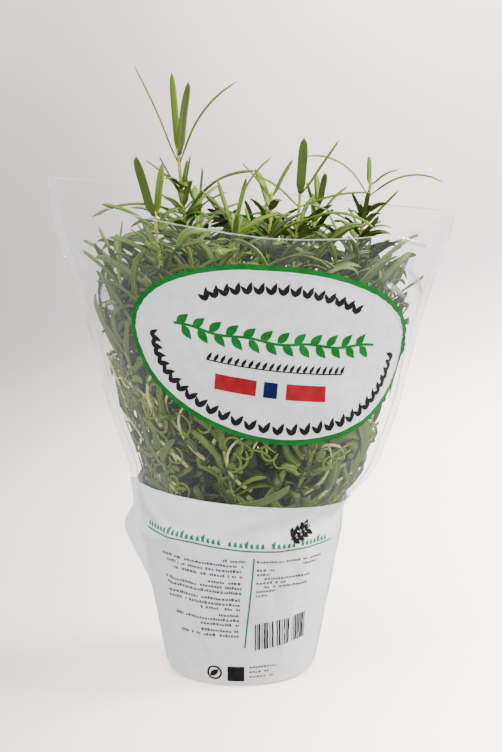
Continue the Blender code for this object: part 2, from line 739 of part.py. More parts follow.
def place_leaf(stem, wish, taken, owner, chooser):
    """The wished leaf, or the nearest one with free room around it. None if there is no room."""
    distance, bearing, length, opening, arch, width, _ = wish
    length, width = length * LEAF_SCALE, width * LEAF_SCALE
    for attempt in range(LEAF_TRIES):
        spread = attempt / LEAF_TRIES
        leaf = Leaf(
            stem, distance, bearing + chooser.uniform(-60, 60) * spread, length * (1 - 0.45 * spread),
            opening + chooser.uniform(-26, 22) * spread, arch + chooser.uniform(-50, 40) * spread,
            width,
        )
        points, radii, shares = leaf.balls()
        if any(meets_edge(p, r) for p, r, s in zip(points, radii, shares) if s > 0.05):
            continue
        if not taken.blocks(points, radii, owner):
            taken.add(points, radii, owner, np.array(shares) > 0.3)
            return leaf
    return None


def plan_cuttings():
    """Stems first, each bent clear of the others, then the leaves."""
    chooser = random.Random(SEED)
    taken = Taken()
    stems = []
    for owner, (_, share, bearing, tip, _, _) in enumerate(CUTTINGS):
        root = root_place(share, bearing)
        turn = chooser.uniform(0, 90)
        for attempt in range(40):
            reach = 0.0006 * attempt
            sway = Vector((chooser.uniform(-reach, reach), chooser.uniform(-reach, reach), 0))
            stem = Stem(root, tip, sway, turn)
            points = chain(stem.points)
            radii = np.full(len(points), STEM_WIDTH * 0.72)
            if not taken.blocks(points, radii, owner):
                break
        taken.add(points, radii, owner, np.zeros(len(points), bool))
        stems.append(stem)
    wishes = [
        spec_leaves(stem, spec[4], spec[5], chooser) for stem, spec in zip(stems, CUTTINGS)
    ]
    leaves = [[] for _ in CUTTINGS]
    for own in (True, False):
        for owner, stem in enumerate(stems):
            for wish in wishes[owner]:
                if wish[6] is own:
                    leaf = place_leaf(stem, wish, taken, owner, chooser)
                    if leaf is not None:
                        leaves[owner].append(leaf)
    return stems, leaves


def side_for(leaf, sides, used):
    """The free side face of the stem that the leaf points away from most squarely."""
    free = [face for face in sides if face not in used]
    if not free:
        return None
    return max(free, key=lambda face: face.normal.dot(leaf.outward))


def build_cuttings():
    look = material("rosemary", (0.16, 0.26, 0.06), 0.55)
    stems, leaves = plan_cuttings()
    for spec, stem, grown in zip(CUTTINGS, stems, leaves):
        bm = bmesh.new()
        nodes = sorted({leaf.distance for leaf in grown})
        sides = grow_stem(bm, stem, nodes)
        bm.normal_update()
        used = set()
        for leaf in grown:
            face = side_for(leaf, sides[leaf.distance], used)
            if face is not None:
                used.add(face)
                grow_leaf(bm, face, leaf)
        object_from(bm, spec[0], look, turn_outwards=False)


def main():
    clear_scene()
    build_pot()
    build_soil()
    build_sleeve()
    build_cuttings()


main()
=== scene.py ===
"""A potted rosemary in its printed film sleeve, on a pale floor in soft light.

Metres, +Z up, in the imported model's own frame. Each section makes one piece: its sizes, its mesh, its
material and what it rides on. Sizes that a later section needs are named where they are first used.
"""

import math
import random

import bmesh
import bpy
import numpy as np
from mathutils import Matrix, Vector, noise


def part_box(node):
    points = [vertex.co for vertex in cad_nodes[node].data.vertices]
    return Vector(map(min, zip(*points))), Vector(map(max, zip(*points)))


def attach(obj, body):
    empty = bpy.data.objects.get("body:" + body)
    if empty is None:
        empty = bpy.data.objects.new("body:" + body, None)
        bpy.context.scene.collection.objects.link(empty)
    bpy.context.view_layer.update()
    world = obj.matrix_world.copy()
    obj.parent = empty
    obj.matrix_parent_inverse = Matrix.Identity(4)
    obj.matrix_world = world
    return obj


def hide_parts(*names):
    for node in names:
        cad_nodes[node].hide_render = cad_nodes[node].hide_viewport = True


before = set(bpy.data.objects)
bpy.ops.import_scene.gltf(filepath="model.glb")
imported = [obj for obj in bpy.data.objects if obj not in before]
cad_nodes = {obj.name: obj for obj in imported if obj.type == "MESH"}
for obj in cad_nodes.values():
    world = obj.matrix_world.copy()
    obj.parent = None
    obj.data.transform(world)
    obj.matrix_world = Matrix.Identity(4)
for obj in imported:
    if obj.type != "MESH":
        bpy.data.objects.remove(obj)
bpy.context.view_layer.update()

# ---------------------------------------------------------------- camera
# A long lens on a stand two metres in front of the plant. It looks slightly down, straight along +Y,
# and is level from side to side.

CAMERA_PLACE = (0.0055, -2.0, 0.642)
CAMERA_TILT = 13.52
FOCAL_LENGTH = 184.7

lens = bpy.data.cameras.new("camera")
lens.lens = FOCAL_LENGTH
lens.sensor_width = 36
lens.clip_end = 50
camera = bpy.data.objects.new("camera", lens)
camera.location = CAMERA_PLACE
camera.rotation_euler = (math.radians(90 - CAMERA_TILT), 0, 0)
bpy.context.scene.collection.objects.link(camera)
bpy.context.scene.camera = camera

# ---------------------------------------------------------------- floor and backdrop
# One pale matt cloth lies under the plant and sweeps up far behind it. It isn't part of the plant.
# Its colour and glow are painted light towards the window and painted shade beyond a soft edge behind it.


class Value:
    """A shader socket that can be reckoned with like a number."""

    def __init__(self, surface, socket):
        self.surface, self.socket = surface, socket

    def reckon(self, operation, *others):
        return self.surface.node(
            "ShaderNodeMath", {"operation": operation}, dict(enumerate((self, *others)))
        )

    def __add__(self, other):
        return self.reckon("ADD", other)

    def __sub__(self, other):
        return self.reckon("SUBTRACT", other)

    def __mul__(self, other):
        return self.reckon("MULTIPLY", other)

    def __rsub__(self, other):
        return self * -1 + other

    __radd__ = __add__
    __rmul__ = __mul__

    def size(self):
        return self.reckon("ABSOLUTE")

    def between(self, low, high):
        """0 below low and 1 above high, smooth between. Works the other way round too."""
        return self.surface.node(
            "ShaderNodeMapRange",
            {"interpolation_type": "SMOOTHSTEP", "clamp": True},
            {"Value": self, "From Min": low, "From Max": high},
        )

    def blend(self, first, second):
        """The first colour at 0 and the second at 1."""
        return self.surface.node(
            "ShaderNodeMix", {"data_type": "RGBA"}, {0: self, 6: first, 7: second}, output=2
        )


class Surface:
    """A material and the few kinds of node that this scene's surfaces are made with."""

    def __init__(self, name):
        self.material = bpy.data.materials.new(name)
        self.material.use_nodes = True
        self.tree = self.material.node_tree
        self.shader = self.tree.nodes["Principled BSDF"]
        self.output = self.tree.nodes["Material Output"]

    def node(self, kind, settings=None, inputs=None, output=0):
        made = self.tree.nodes.new(kind)
        for key, setting in (settings or {}).items():
            setattr(made, key, setting)
        for key, given in (inputs or {}).items():
            self.feed(made.inputs[key], given)
        return Value(self, made.outputs[output])

    def feed(self, socket, given):
        if isinstance(given, Value):
            self.tree.links.new(given.socket, socket)
        elif isinstance(given, tuple) and len(given) == 3 and socket.type == "RGBA":
            socket.default_value = (*given, 1.0)
        else:
            socket.default_value = given

    def set(self, **inputs):
        for key, given in inputs.items():
            self.feed(self.shader.inputs[key.replace("_", " ").title()], given)
        return self

    def marked(self, name):
        """A number stored on the mesh's points."""
        return self.node("ShaderNodeAttribute", {"attribute_name": name}, output=2)

    def place(self):
        return self.node("ShaderNodeTexCoord", output=3)

    def noise(self, scale, detail=3.0, rough=0.55, where=None):
        where = where or self.place()
        inputs = {"Vector": where, "Scale": scale, "Detail": detail, "Roughness": rough}
        return self.node("ShaderNodeTexNoise", None, inputs)

    def bump(self, height, distance, strength=1.0):
        normal = self.node(
            "ShaderNodeBump", None, {"Height": height, "Distance": distance, "Strength": strength}
        )
        self.feed(self.shader.inputs["Normal"], normal)
        return normal

    def shown(self, shader_value):
        self.tree.links.new(shader_value.socket, self.output.inputs["Surface"])

    def own_shader(self):
        return Value(self, self.shader.outputs[0])

    def mixed(self, factor, first, second):
        return self.node("ShaderNodeMixShader", None, {0: factor, 1: first, 2: second})


def mesh_object(name, points, faces, look, marks=None):
    """A mesh object with one material and named numbers on its points."""
    mesh = bpy.data.meshes.new(name)
    mesh.from_pydata([tuple(point) for point in points], [], faces)
    for key, numbers in (marks or {}).items():
        mesh.attributes.new(key, "FLOAT", "POINT").data.foreach_set("value", np.array(numbers, "f"))
    mesh.shade_smooth()
    mesh.materials.append(look)
    mesh.update()
    obj = bpy.data.objects.new(name, mesh)
    bpy.context.scene.collection.objects.link(obj)
    return obj


def grid_faces(rows, columns, closed=False):
    """Quads over a grid of points stored row by row, the last column joined to the first if closed."""
    faces = []
    for i in range(rows - 1):
        low, high = i * columns, (i + 1) * columns
        for j in range(columns if closed else columns - 1):
            k = (j + 1) % columns
            faces.append((low + j, low + k, high + k, high + j))
    return faces


def tube_faces(first, rings, sides):
    """The faces of a tube whose points are stored ring by ring from first, with a cap at each end."""
    faces = [tuple(first + i for i in face) for face in grid_faces(rings, sides, closed=True)]
    last = first + (rings - 1) * sides
    return faces + [tuple(range(first, first + sides))[::-1], tuple(range(last, last + sides))]


FLOOR_DEPTH = 3.4
SWEEP_RADIUS = 1.2
BACKDROP_HEIGHT = 3.0
FLOOR_HALF = 12.0


def ease(value):
    value = min(1.0, max(0.0, value))
    return value * value * (3 - 2 * value)


sweep = [(-FLOOR_HALF, 0.0), (FLOOR_DEPTH, 0.0)]
for step in range(1, 17):
    angle = math.pi / 2 * step / 16
    sweep.append(
        (FLOOR_DEPTH + SWEEP_RADIUS * math.sin(angle), SWEEP_RADIUS * (1 - math.cos(angle)))
    )
sweep.append((FLOOR_DEPTH + SWEEP_RADIUS, BACKDROP_HEIGHT))
cloth = Surface("stage_cloth")
x, y = (
    cloth.node("ShaderNodeSeparateXYZ", None, {0: cloth.node("ShaderNodeNewGeometry")}, output=i)
    for i in (0, 1)
)
# Painted light towards the window on the right. Beyond a soft, slanting edge, painted shade, then a greyer
# wall.
lit = x.between(-0.27, 0.27)
beyond = (y - x * 0.77).between(0.34, 0.98)
high = y.between(0.7, 3.2)


def stage_colour(table_dim, table_lit, dip_dim, dip_lit, wall_dim, wall_lit):
    beyond_it = high.blend(lit.blend(dip_dim, dip_lit), lit.blend(wall_dim, wall_lit))
    return beyond.blend(lit.blend(table_dim, table_lit), beyond_it)


cloth.set(
    base_color=stage_colour(
        (0.46, 0.43, 0.42), (0.95, 0.92, 0.905), (0.24, 0.228, 0.228), (0.76, 0.72, 0.72),
        (0.84, 0.79, 0.775), (0.94, 0.90, 0.895),
    ),
    roughness=0.9,
    # The glow is painted light as well: strongest towards the window and least in the shaded dip.
    emission_color=stage_colour(
        (0.03, 0.02, 0.015), (3.5, 2.9, 2.6), (0.0, 0.0, 0.0), (0.42, 0.29, 0.29),
        (0.75, 0.58, 0.50), (3.2, 2.55, 2.4),
    ),
    emission_strength=1.0,
)
cloth.bump(cloth.noise(14, 2), 0.004, 0.4)
floor = mesh_object(
    "stage_floor",
    [(x, y, z) for y, z in sweep for x in (-FLOOR_HALF, FLOOR_HALF)],
    grid_faces(len(sweep), 2),
    cloth.material,
)
# Its painted glow is for the eye alone: the plant is lit by the lamps and the room.
floor.visible_diffuse = False
floor.visible_glossy = False

# ---------------------------------------------------------------- light
# A wide soft window from the right, a gentle fill from the front left and a bright room. Two small
# lamps nearer the front give the film its glints.

room = bpy.data.worlds.new("room")
room.use_nodes = True
room_glow = room.node_tree.nodes["Background"].inputs
room_glow["Color"].default_value = (1.0, 0.985, 0.975, 1.0)
room_glow["Strength"].default_value = 0.92
bpy.context.scene.world = room

LAMPS = (
    ("window", (1.5, 0.15, 1.3), 1.0, 112.0, (1.0, 0.99, 0.96)),
    ("fill", (-1.1, -1.5, 1.3), 1.6, 22.0, (0.97, 0.985, 1.0)),
    ("above", (-0.2, -0.2, 2.0), 1.2, 52.0, (1.0, 1.0, 0.98)),
    ("glint_right", (0.95, -1.0, 0.50), 0.20, 9.0, (1.0, 1.0, 1.0)),
    ("glint_left", (-0.90, -0.9, 0.75), 0.16, 5.0, (1.0, 1.0, 1.0)),
)
for name, spot, width, power, colour in LAMPS:
    lamp = bpy.data.lights.new(name, "AREA")
    lamp.size = width
    lamp.energy = power
    lamp.color = colour
    holder = bpy.data.objects.new(name, lamp)
    holder.location = spot
    holder.rotation_euler = (Vector((0, 0, 0.15)) - Vector(spot)).to_track_quat("-Z", "Y").to_euler()
    bpy.context.scene.collection.objects.link(holder)

# ---------------------------------------------------------------- pot
# A thin nursery pot, formed in black plastic with a stepped lip. It is the CAD's own node with a
# moulded, dusty finish. The sizes below are those that the soil and the film are fitted to.

plastic = Surface("pot_black_plastic")
grime = plastic.noise(90, 4)
plastic.set(
    base_color=grime.between(0.45, 0.8).blend((0.018, 0.018, 0.019), (0.055, 0.047, 0.04)),
    roughness=grime.between(0.3, 0.7) * 0.25 + 0.38,
)
plastic.bump(plastic.noise(900, 2), 0.0002, 0.35)
cad_nodes["pot"].material_slots[0].material = plastic.material

POT_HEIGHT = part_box("pot")[1][2]
LIP_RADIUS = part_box("pot")[1][0]
BASE_RADIUS = 0.0375
BAND_HEIGHT = 0.011
BAND_FOOT = POT_HEIGHT - BAND_HEIGHT
BAND_STEP = 0.0020
LIP_WIDTH = 0.0018
POT_WALL = 0.0011
THROAT_RADIUS = LIP_RADIUS - LIP_WIDTH / 2 - BAND_STEP - POT_WALL

# ---------------------------------------------------------------- soil
# Dark peat pressed into a plug that fills the pot. The plug is the CAD's own node, and loose crumbs
# and a few white grains lie on its top.

SOIL_TOP = POT_HEIGHT - 0.014
GAP = 0.0003
POT_SIDES = 40
CRUMBS_TO_POT = 0.004


def peat_look(name, pale):
    peat = Surface(name)
    lumps = peat.noise(420, 5, 0.7)
    fibres = peat.noise(1600, 3, 0.6)
    dark = (0.55, 0.53, 0.48) if pale else (0.022, 0.013, 0.009)
    light = (0.78, 0.77, 0.73) if pale else (0.085, 0.052, 0.032)
    peat.set(base_color=lumps.between(0.35, 0.7).blend(dark, light), roughness=0.95)
    peat.bump(lumps + fibres * 0.5, 0.0015, 0.9)
    return peat.material


def wall_radius(height):
    top = THROAT_RADIUS + POT_WALL
    return BASE_RADIUS + (top - BASE_RADIUS) * height / BAND_FOOT


def soil_radius(height):
    return wall_radius(height) - POT_WALL - GAP - LIP_RADIUS * (1 - math.cos(math.pi / POT_SIDES))


cad_nodes["soil"].material_slots[0].material = peat_look("peat", False)


def scatter_crumbs(name, count, low, high, look, seed):
    chance = random.Random(seed)
    bm = bmesh.new()
    for _ in range(count):
        size = chance.uniform(low, high)
        made = bmesh.ops.create_icosphere(bm, subdivisions=1, radius=size)
        reach = (soil_radius(SOIL_TOP) - CRUMBS_TO_POT) * math.sqrt(chance.random())
        turn = chance.uniform(0, 2 * math.pi)
        spot = Vector((reach * math.cos(turn), reach * math.sin(turn), SOIL_TOP + size * 0.4))
        flat = chance.uniform(0.5, 0.9)
        for vert in made["verts"]:
            vert.co *= chance.uniform(0.75, 1.25)
            vert.co.z *= flat
            vert.co += spot
    mesh = bpy.data.meshes.new(name)
    bm.to_mesh(mesh)
    bm.free()
    mesh.materials.append(look)
    obj = bpy.data.objects.new(name, mesh)
    bpy.context.scene.collection.objects.link(obj)
    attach(obj, "root")


scatter_crumbs("peat_crumbs", 420, 0.0007, 0.0021, peat_look("peat_crumb", False), 3)
scatter_crumbs("perlite_grains", 26, 0.0006, 0.0012, peat_look("perlite", True), 4)

# ---------------------------------------------------------------- film sleeve
# Two clear film panels welded down both sides, printed white over the pot and open at the top. The same
# cone and flare as the CAD's sleeve, as one thin creased skin that replaces it.

FILM = 0.0005
FILM_TO_LIP = 0.0007
SLEEVE_LENGTH = 0.249
SLEEVE_LIFT = 0.0010
SEAM_WELD = 0.004
SKEW = 0.085
SKEW_RAMP = 0.11
PLEAT_WIDTH = 0.008
PLEAT_REACH = 0.036
LEAN = 0.007
LEAN_RAMP = 0.026
FLARE = (
    (0.000, 0.0000, 0.0000),
    (0.012, 0.0048, 0.0021),
    (0.028, 0.0108, 0.0042),
    (0.056, 0.0202, 0.0062),
    (0.090, 0.0282, 0.0090),
    (0.120, 0.0368, 0.0098),
    (0.150, 0.0469, 0.0098),
    (0.185, 0.0520, 0.0098),
)
LENS_SHARPNESS = 0.28
LENS_RAMP = 0.14
# How much of a flat panel's rise towards its seams is left at a height on the sheet. The film is
# gathered round the pot, which takes most of it up there.
CLIMB = (
    (0.0, 0.22), (0.030, 0.24), (0.078, 0.10), (0.106, -0.30), (0.150, 0.10), (0.186, 0.26), (0.249, 0.54),
)
SLEEVE_LIP_RADIUS = LIP_RADIUS + FILM_TO_LIP + FILM / 2
SLEEVE_FOOT_RADIUS = BASE_RADIUS + FILM_TO_LIP + FILM / 2
CONE_ANGLE = math.atan((SLEEVE_LIP_RADIUS - SLEEVE_FOOT_RADIUS) / BAND_FOOT)
APEX = SLEEVE_FOOT_RADIUS / math.sin(CONE_ANGLE)
PANEL_HALF_ANGLE = math.pi / 2 * math.sin(CONE_ANGLE)


def through(keys, where):
    """Smooth curves through rows of a position and its values, held level past their ends."""
    where = min(keys[-1][0], max(keys[0][0], where))
    at = max(i for i in range(len(keys) - 1) if keys[i][0] <= where)
    a, b = keys[at], keys[at + 1]
    before, after = keys[max(at - 1, 0)], keys[min(at + 2, len(keys) - 1)]
    t = (where - a[0]) / (b[0] - a[0])
    values = []
    for k in range(1, len(a)):
        slope_a = (b[k] - before[k]) / (b[0] - before[0]) * (b[0] - a[0])
        slope_b = (after[k] - a[k]) / (after[0] - a[0]) * (b[0] - a[0])
        values.append(
            (2 * t**3 - 3 * t**2 + 1) * a[k] + (t**3 - 2 * t**2 + t) * slope_a
            + (3 * t**2 - 2 * t**3) * b[k] + (t**3 - t**2) * slope_b
        )
    return values


def sleeve_outline(height):
    """Centre, half width, half depth and superellipse power of the film at a height."""
    if height <= POT_HEIGHT:
        share = min(1.0, height / BAND_FOOT)
        radius = SLEEVE_FOOT_RADIUS + (SLEEVE_LIP_RADIUS - SLEEVE_FOOT_RADIUS) * share
        return 0.0, radius, radius, 2.0
    above = height - POT_HEIGHT
    wide, deep = through(FLARE, above)
    power = 2 - LENS_SHARPNESS * ease(above / LENS_RAMP)
    return LEAN * ease(above / LEAN_RAMP), SLEEVE_LIP_RADIUS + wide, SLEEVE_LIP_RADIUS + deep, power


def signed_power(value, power):
    return math.copysign(abs(value) ** power, value)


def sleeve_point(turn, height, inset=0.0):
    """A point on the film, moved inwards by inset. turn is 0 at the right seam and -pi/2 in front."""
    centre, wide, deep, power = sleeve_outline(height)
    x = centre + signed_power(math.cos(turn), 2 / power) * (wide - inset)
    y = signed_power(math.sin(turn), 2 / power) * (deep - inset)
    return Vector((x, y, height))


def printed_height(turn, height):
    """Where a straight line across the flat panel lies on the standing sleeve."""
    share = abs(((turn - math.pi / 2) + math.pi / 2) % math.pi - math.pi / 2) / (math.pi / 2)
    climb = (APEX + height) * (1 / math.cos(PANEL_HALF_ANGLE * share) - 1)
    climb *= through(CLIMB, height)[0]
    wide = sleeve_outline(height)[1]
    return SLEEVE_LIFT + height + climb - SKEW * wide * math.cos(turn) * ease(height / SKEW_RAMP)


def seam_width(side, height):
    """How far the welded seam stands out. The left one takes up the spare film beside the lip."""
    weld = SEAM_WELD * (0.25 + 0.75 * ease((height - BAND_FOOT) / 0.03))
    if side > 0:
        return weld
    away = (BAND_FOOT - height) / PLEAT_REACH
    return weld + PLEAT_WIDTH * ease(1 - (away if away > 0 else -2 * away))


PRINT_TOP = 0.1035
# Creases on the flat panels: panel (-1 front, 1 back), both ends as (turn in degrees from the panel's
# middle, height on the sheet), how far the film stands out along them and how wide they are.
CREASES = (
    (-1, (78, 0.205), (52, 0.240), 0.0016, 0.0022),
    (-1, (82, 0.190), (60, 0.214), -0.0013, 0.0020),
    (-1, (70, 0.226), (58, 0.249), 0.0015, 0.0018),
    (-1, (84, 0.226), (66, 0.246), -0.0012, 0.0016),
    (-1, (74, 0.212), (54, 0.232), 0.0024, 0.0013),
    (-1, (70, 0.206), (50, 0.222), 0.0022, 0.0011),
    (-1, (66, 0.238), (48, 0.247), 0.0026, 0.0012),
    (-1, (86, 0.150), (70, 0.200), 0.0020, 0.0014),
    (-1, (-84, 0.228), (-66, 0.214), 0.0022, 0.0012),
    (-1, (-80, 0.190), (-64, 0.249), 0.0015, 0.0026),
    (-1, (-74, 0.130), (-62, 0.200), -0.0012, 0.0030),
    (-1, (-86, 0.215), (-74, 0.249), 0.0013, 0.0018),
    (-1, (-80, 0.072), (-28, 0.083), 0.0026, 0.0034),
    (-1, (-72, 0.100), (-36, 0.076), 0.0020, 0.0030),
    (-1, (-60, 0.028), (-34, 0.072), 0.0016, 0.0030),
    (-1, (-14, 0.086), (16, 0.098), 0.0010, 0.0030),
    (-1, (22, 0.078), (46, 0.100), 0.0014, 0.0034),
    (-1, (30, 0.012), (40, 0.064), 0.0012, 0.0032),
    (-1, (6, 0.042), (16, 0.074), 0.0009, 0.0030),
    (-1, (-20, 0.008), (-30, 0.040), 0.0010, 0.0026),
    (-1, (62, 0.100), (80, 0.150), 0.0014, 0.0030),
    (-1, (56, 0.150), (74, 0.190), -0.0010, 0.0030),
    (1, (70, 0.190), (52, 0.240), 0.0016, 0.0024),
    (1, (-78, 0.180), (-60, 0.236), 0.0016, 0.0024),
    (1, (-40, 0.060), (-10, 0.096), 0.0014, 0.0032),
    (1, (20, 0.030), (48, 0.084), 0.0014, 0.0032),
)


def crease_height(panel, turn, up):
    """How far the creased film stands out from the smooth sleeve."""
    middle = panel * math.pi / 2
    off = math.degrees((turn - middle + math.pi) % (2 * math.pi) - math.pi)
    away = 0.0
    for side, (a_off, a_up), (b_off, b_up), rise, width in CREASES:
        if side != panel:
            continue
        # Degrees are near enough millimetres on this sleeve, so both axes are set in metres.
        px, py = off / 1000 - a_off / 1000, up - a_up
        dx, dy = b_off / 1000 - a_off / 1000, b_up - a_up
        along = (px * dx + py * dy) / (dx * dx + dy * dy)
        t = min(1.0, max(0.0, along))
        gap = math.hypot(px - dx * t, py - dy * t)
        away += rise * math.exp(-((gap / width) ** 1.5)) * (1 - 0.5 * abs(2 * t - 1))
    free = ease((up - 0.095) / 0.05)
    spot = Vector((off * 0.035, up * 26, panel * 7.0))
    away += (noise.noise(spot) * 0.0016 + noise.noise(spot * 2.7) * 0.0005) * free
    folded = Vector((off * 0.06, up * 30, panel * 3.0))
    away += abs(noise.noise(folded)) * 0.0011 * (1 - free)
    floor_of_film = -0.0004 if up > 0.1 else -0.0001
    return max(floor_of_film, away)


def film_point(panel, turn, up, lift=0.0):
    return sleeve_point(turn, printed_height(turn, up), -lift - crease_height(panel, turn, up))


def clear_film_look():
    """Clear glossy film, whiter edge on. Painted highlight and its milkiness whiten its cut edge and
    creases.
    """
    film = Surface("clear_film")
    crinkle = film.noise(55, 5, 0.6)
    fine = film.noise(240, 3, 0.6)
    normal = film.bump(crinkle + fine * 0.25, 0.0016, 0.55)
    facing = film.node("ShaderNodeLayerWeight", None, {"Blend": 0.42, "Normal": normal}, output=1)
    edge = film.marked("edge")
    fold = film.marked("fold")
    # Painted highlight: the creases, the cut edge and the crinkle peaks are painted whiter.
    haze_and_painted_highlight = facing * 0.055 + edge * 0.60 + fold * 0.62 + crinkle.between(0.58, 0.80) * 0.06 + 0.006
    film.set(base_color=(0.90, 0.92, 0.93), roughness=0.32)
    shine = {"Color": (1.0, 1.0, 1.0), "Roughness": 0.11, "Normal": normal}
    gloss = film.node("ShaderNodeBsdfAnisotropic", None, shine)
    clear = film.node("ShaderNodeBsdfTransparent")
    body = film.mixed(haze_and_painted_highlight, clear, film.own_shader())
    film.shown(film.mixed(facing * 0.20 + fold * 0.60 + edge * 0.30 + 0.012, body, gloss))
    return film.material


def printed_film_look():
    """Film printed white on its inside, so its face stays glossy; its creases catch the light, with
    painted highlight.
    """
    ink = Surface("white_printed_film")
    crinkle = ink.noise(60, 5, 0.6)
    ink.set(
        # Lighter where the crinkles stand out: painted highlight.
        base_color=crinkle.between(0.3, 0.8).blend((0.86, 0.86, 0.86), (0.93, 0.925, 0.92)),
        roughness=0.34,
        coat_weight=0.2,
        coat_roughness=0.12,
    )
    ink.bump(crinkle, 0.0022, 0.5)
    clear = ink.node("ShaderNodeBsdfTransparent")
    ink.shown(ink.mixed(0.95, clear, ink.own_shader()))
    return ink.material


clear_film = clear_film_look()
printed_film = printed_film_look()
FILM_COLUMNS = 181
PRINT_ROWS = 44
CLEAR_ROWS = 130
CUT_EDGE = 0.0008
SHARP_FOLD = 0.0022


def sleeve_rows(low, high, count, edge_rows=()):
    return [low + (high - low) * i / count for i in range(count + 1)] + list(edge_rows)


def film_panel(name, panel, ups, look):
    middle = panel * math.pi / 2
    points, edge, fold = [], [], []
    for up in ups:
        for j in range(FILM_COLUMNS):
            turn = middle + math.pi * (j / (FILM_COLUMNS - 1) - 0.5) * 0.9995
            points.append(film_point(panel, turn, up))
            # The edge and fold marks whiten the film as painted highlight, together with its milkiness.
            to_edge = min(SLEEVE_LENGTH - up, up)
            edge.append(ease(1 - to_edge / CUT_EDGE))
            fold.append(ease(crease_height(panel, turn, up) / SHARP_FOLD - 0.35))
    marks = {"edge": edge, "fold": fold}
    obj = mesh_object(name, points, grid_faces(len(ups), FILM_COLUMNS), look, marks)
    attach(obj, "root")
    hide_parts("film_sleeve")


RIM_ROWS = (SLEEVE_LENGTH - 0.0005, SLEEVE_LENGTH)
print_ups = sleeve_rows(0.0, PRINT_TOP, PRINT_ROWS)
clear_ups = sleeve_rows(PRINT_TOP, SLEEVE_LENGTH - 0.0009, CLEAR_ROWS, RIM_ROWS)
for kind, ups, look in (("print", print_ups, printed_film), ("clear", clear_ups, clear_film)):
    for panel, word in ((-1, "front"), (1, "back")):
        film_panel(f"sleeve_{word}_{kind}", panel, ups, look)

# ---------------------------------------------------------------- seam welds
# Both panels run on past the seam and are melted together there, with a milky bead along the weld.
# The left weld also takes up a pleat of spare film beside the pot's lip.


def weld_strip(name, side, ups, look, wavy):
    points, edge = [], []
    across = 6
    for up in ups:
        turn = 0.0 if side > 0 else math.pi
        height = printed_height(turn, up)
        base = sleeve_point(turn, height, -0.0001)
        width = seam_width(side, height)
        for j in range(across + 1):
            share = j / across
            sway = wavy * math.sin(up * 190 + share * 2) * share
            points.append(base + Vector((side * width * share, sway, 0)))
            # Both long edges get the full edge mark: milky weld and painted highlight.
            edge.append(1.0 if j in (0, across) else 0.35)
    obj = mesh_object(name, points, grid_faces(len(ups), across + 1), look, {"edge": edge})
    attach(obj, "root")
    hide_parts("film_sleeve")


for side, word in ((-1, "left"), (1, "right")):
    weld_strip("seam_weld_clear_" + word, side, clear_ups, clear_film, 0.0012)
    weld_strip("seam_weld_print_" + word, side, print_ups, printed_film, 0.0006)

# ---------------------------------------------------------------- print on the film
# Flat inks just off the film: an oval label on both panels, and rules, ticks and marks on the white
# print. Plain leaf shapes and ticks stand in for wording, and plain marks for pictures.

INK_LIFT = 0.00022
UPPER_LIFT = INK_LIFT * 1.6
TINY = 1e-5
TURN_TABLES = {}


def turn_at(panel, across, up):
    """The outline's parameter at a distance across the panel from its middle line."""
    key = round(up * 250)
    if key not in TURN_TABLES:
        turns = np.linspace(-math.pi, 0, 121)
        ring = np.array([sleeve_point(t, key / 250 + SLEEVE_LIFT)[:2] for t in turns])
        steps = np.linalg.norm(np.diff(ring, axis=0), axis=1)
        along = np.concatenate([[0], np.cumsum(steps)])
        TURN_TABLES[key] = (along - along[60], turns)
    along, turns = TURN_TABLES[key]
    turn = float(np.interp(across, along, turns))
    return turn if panel < 0 else turn + math.pi


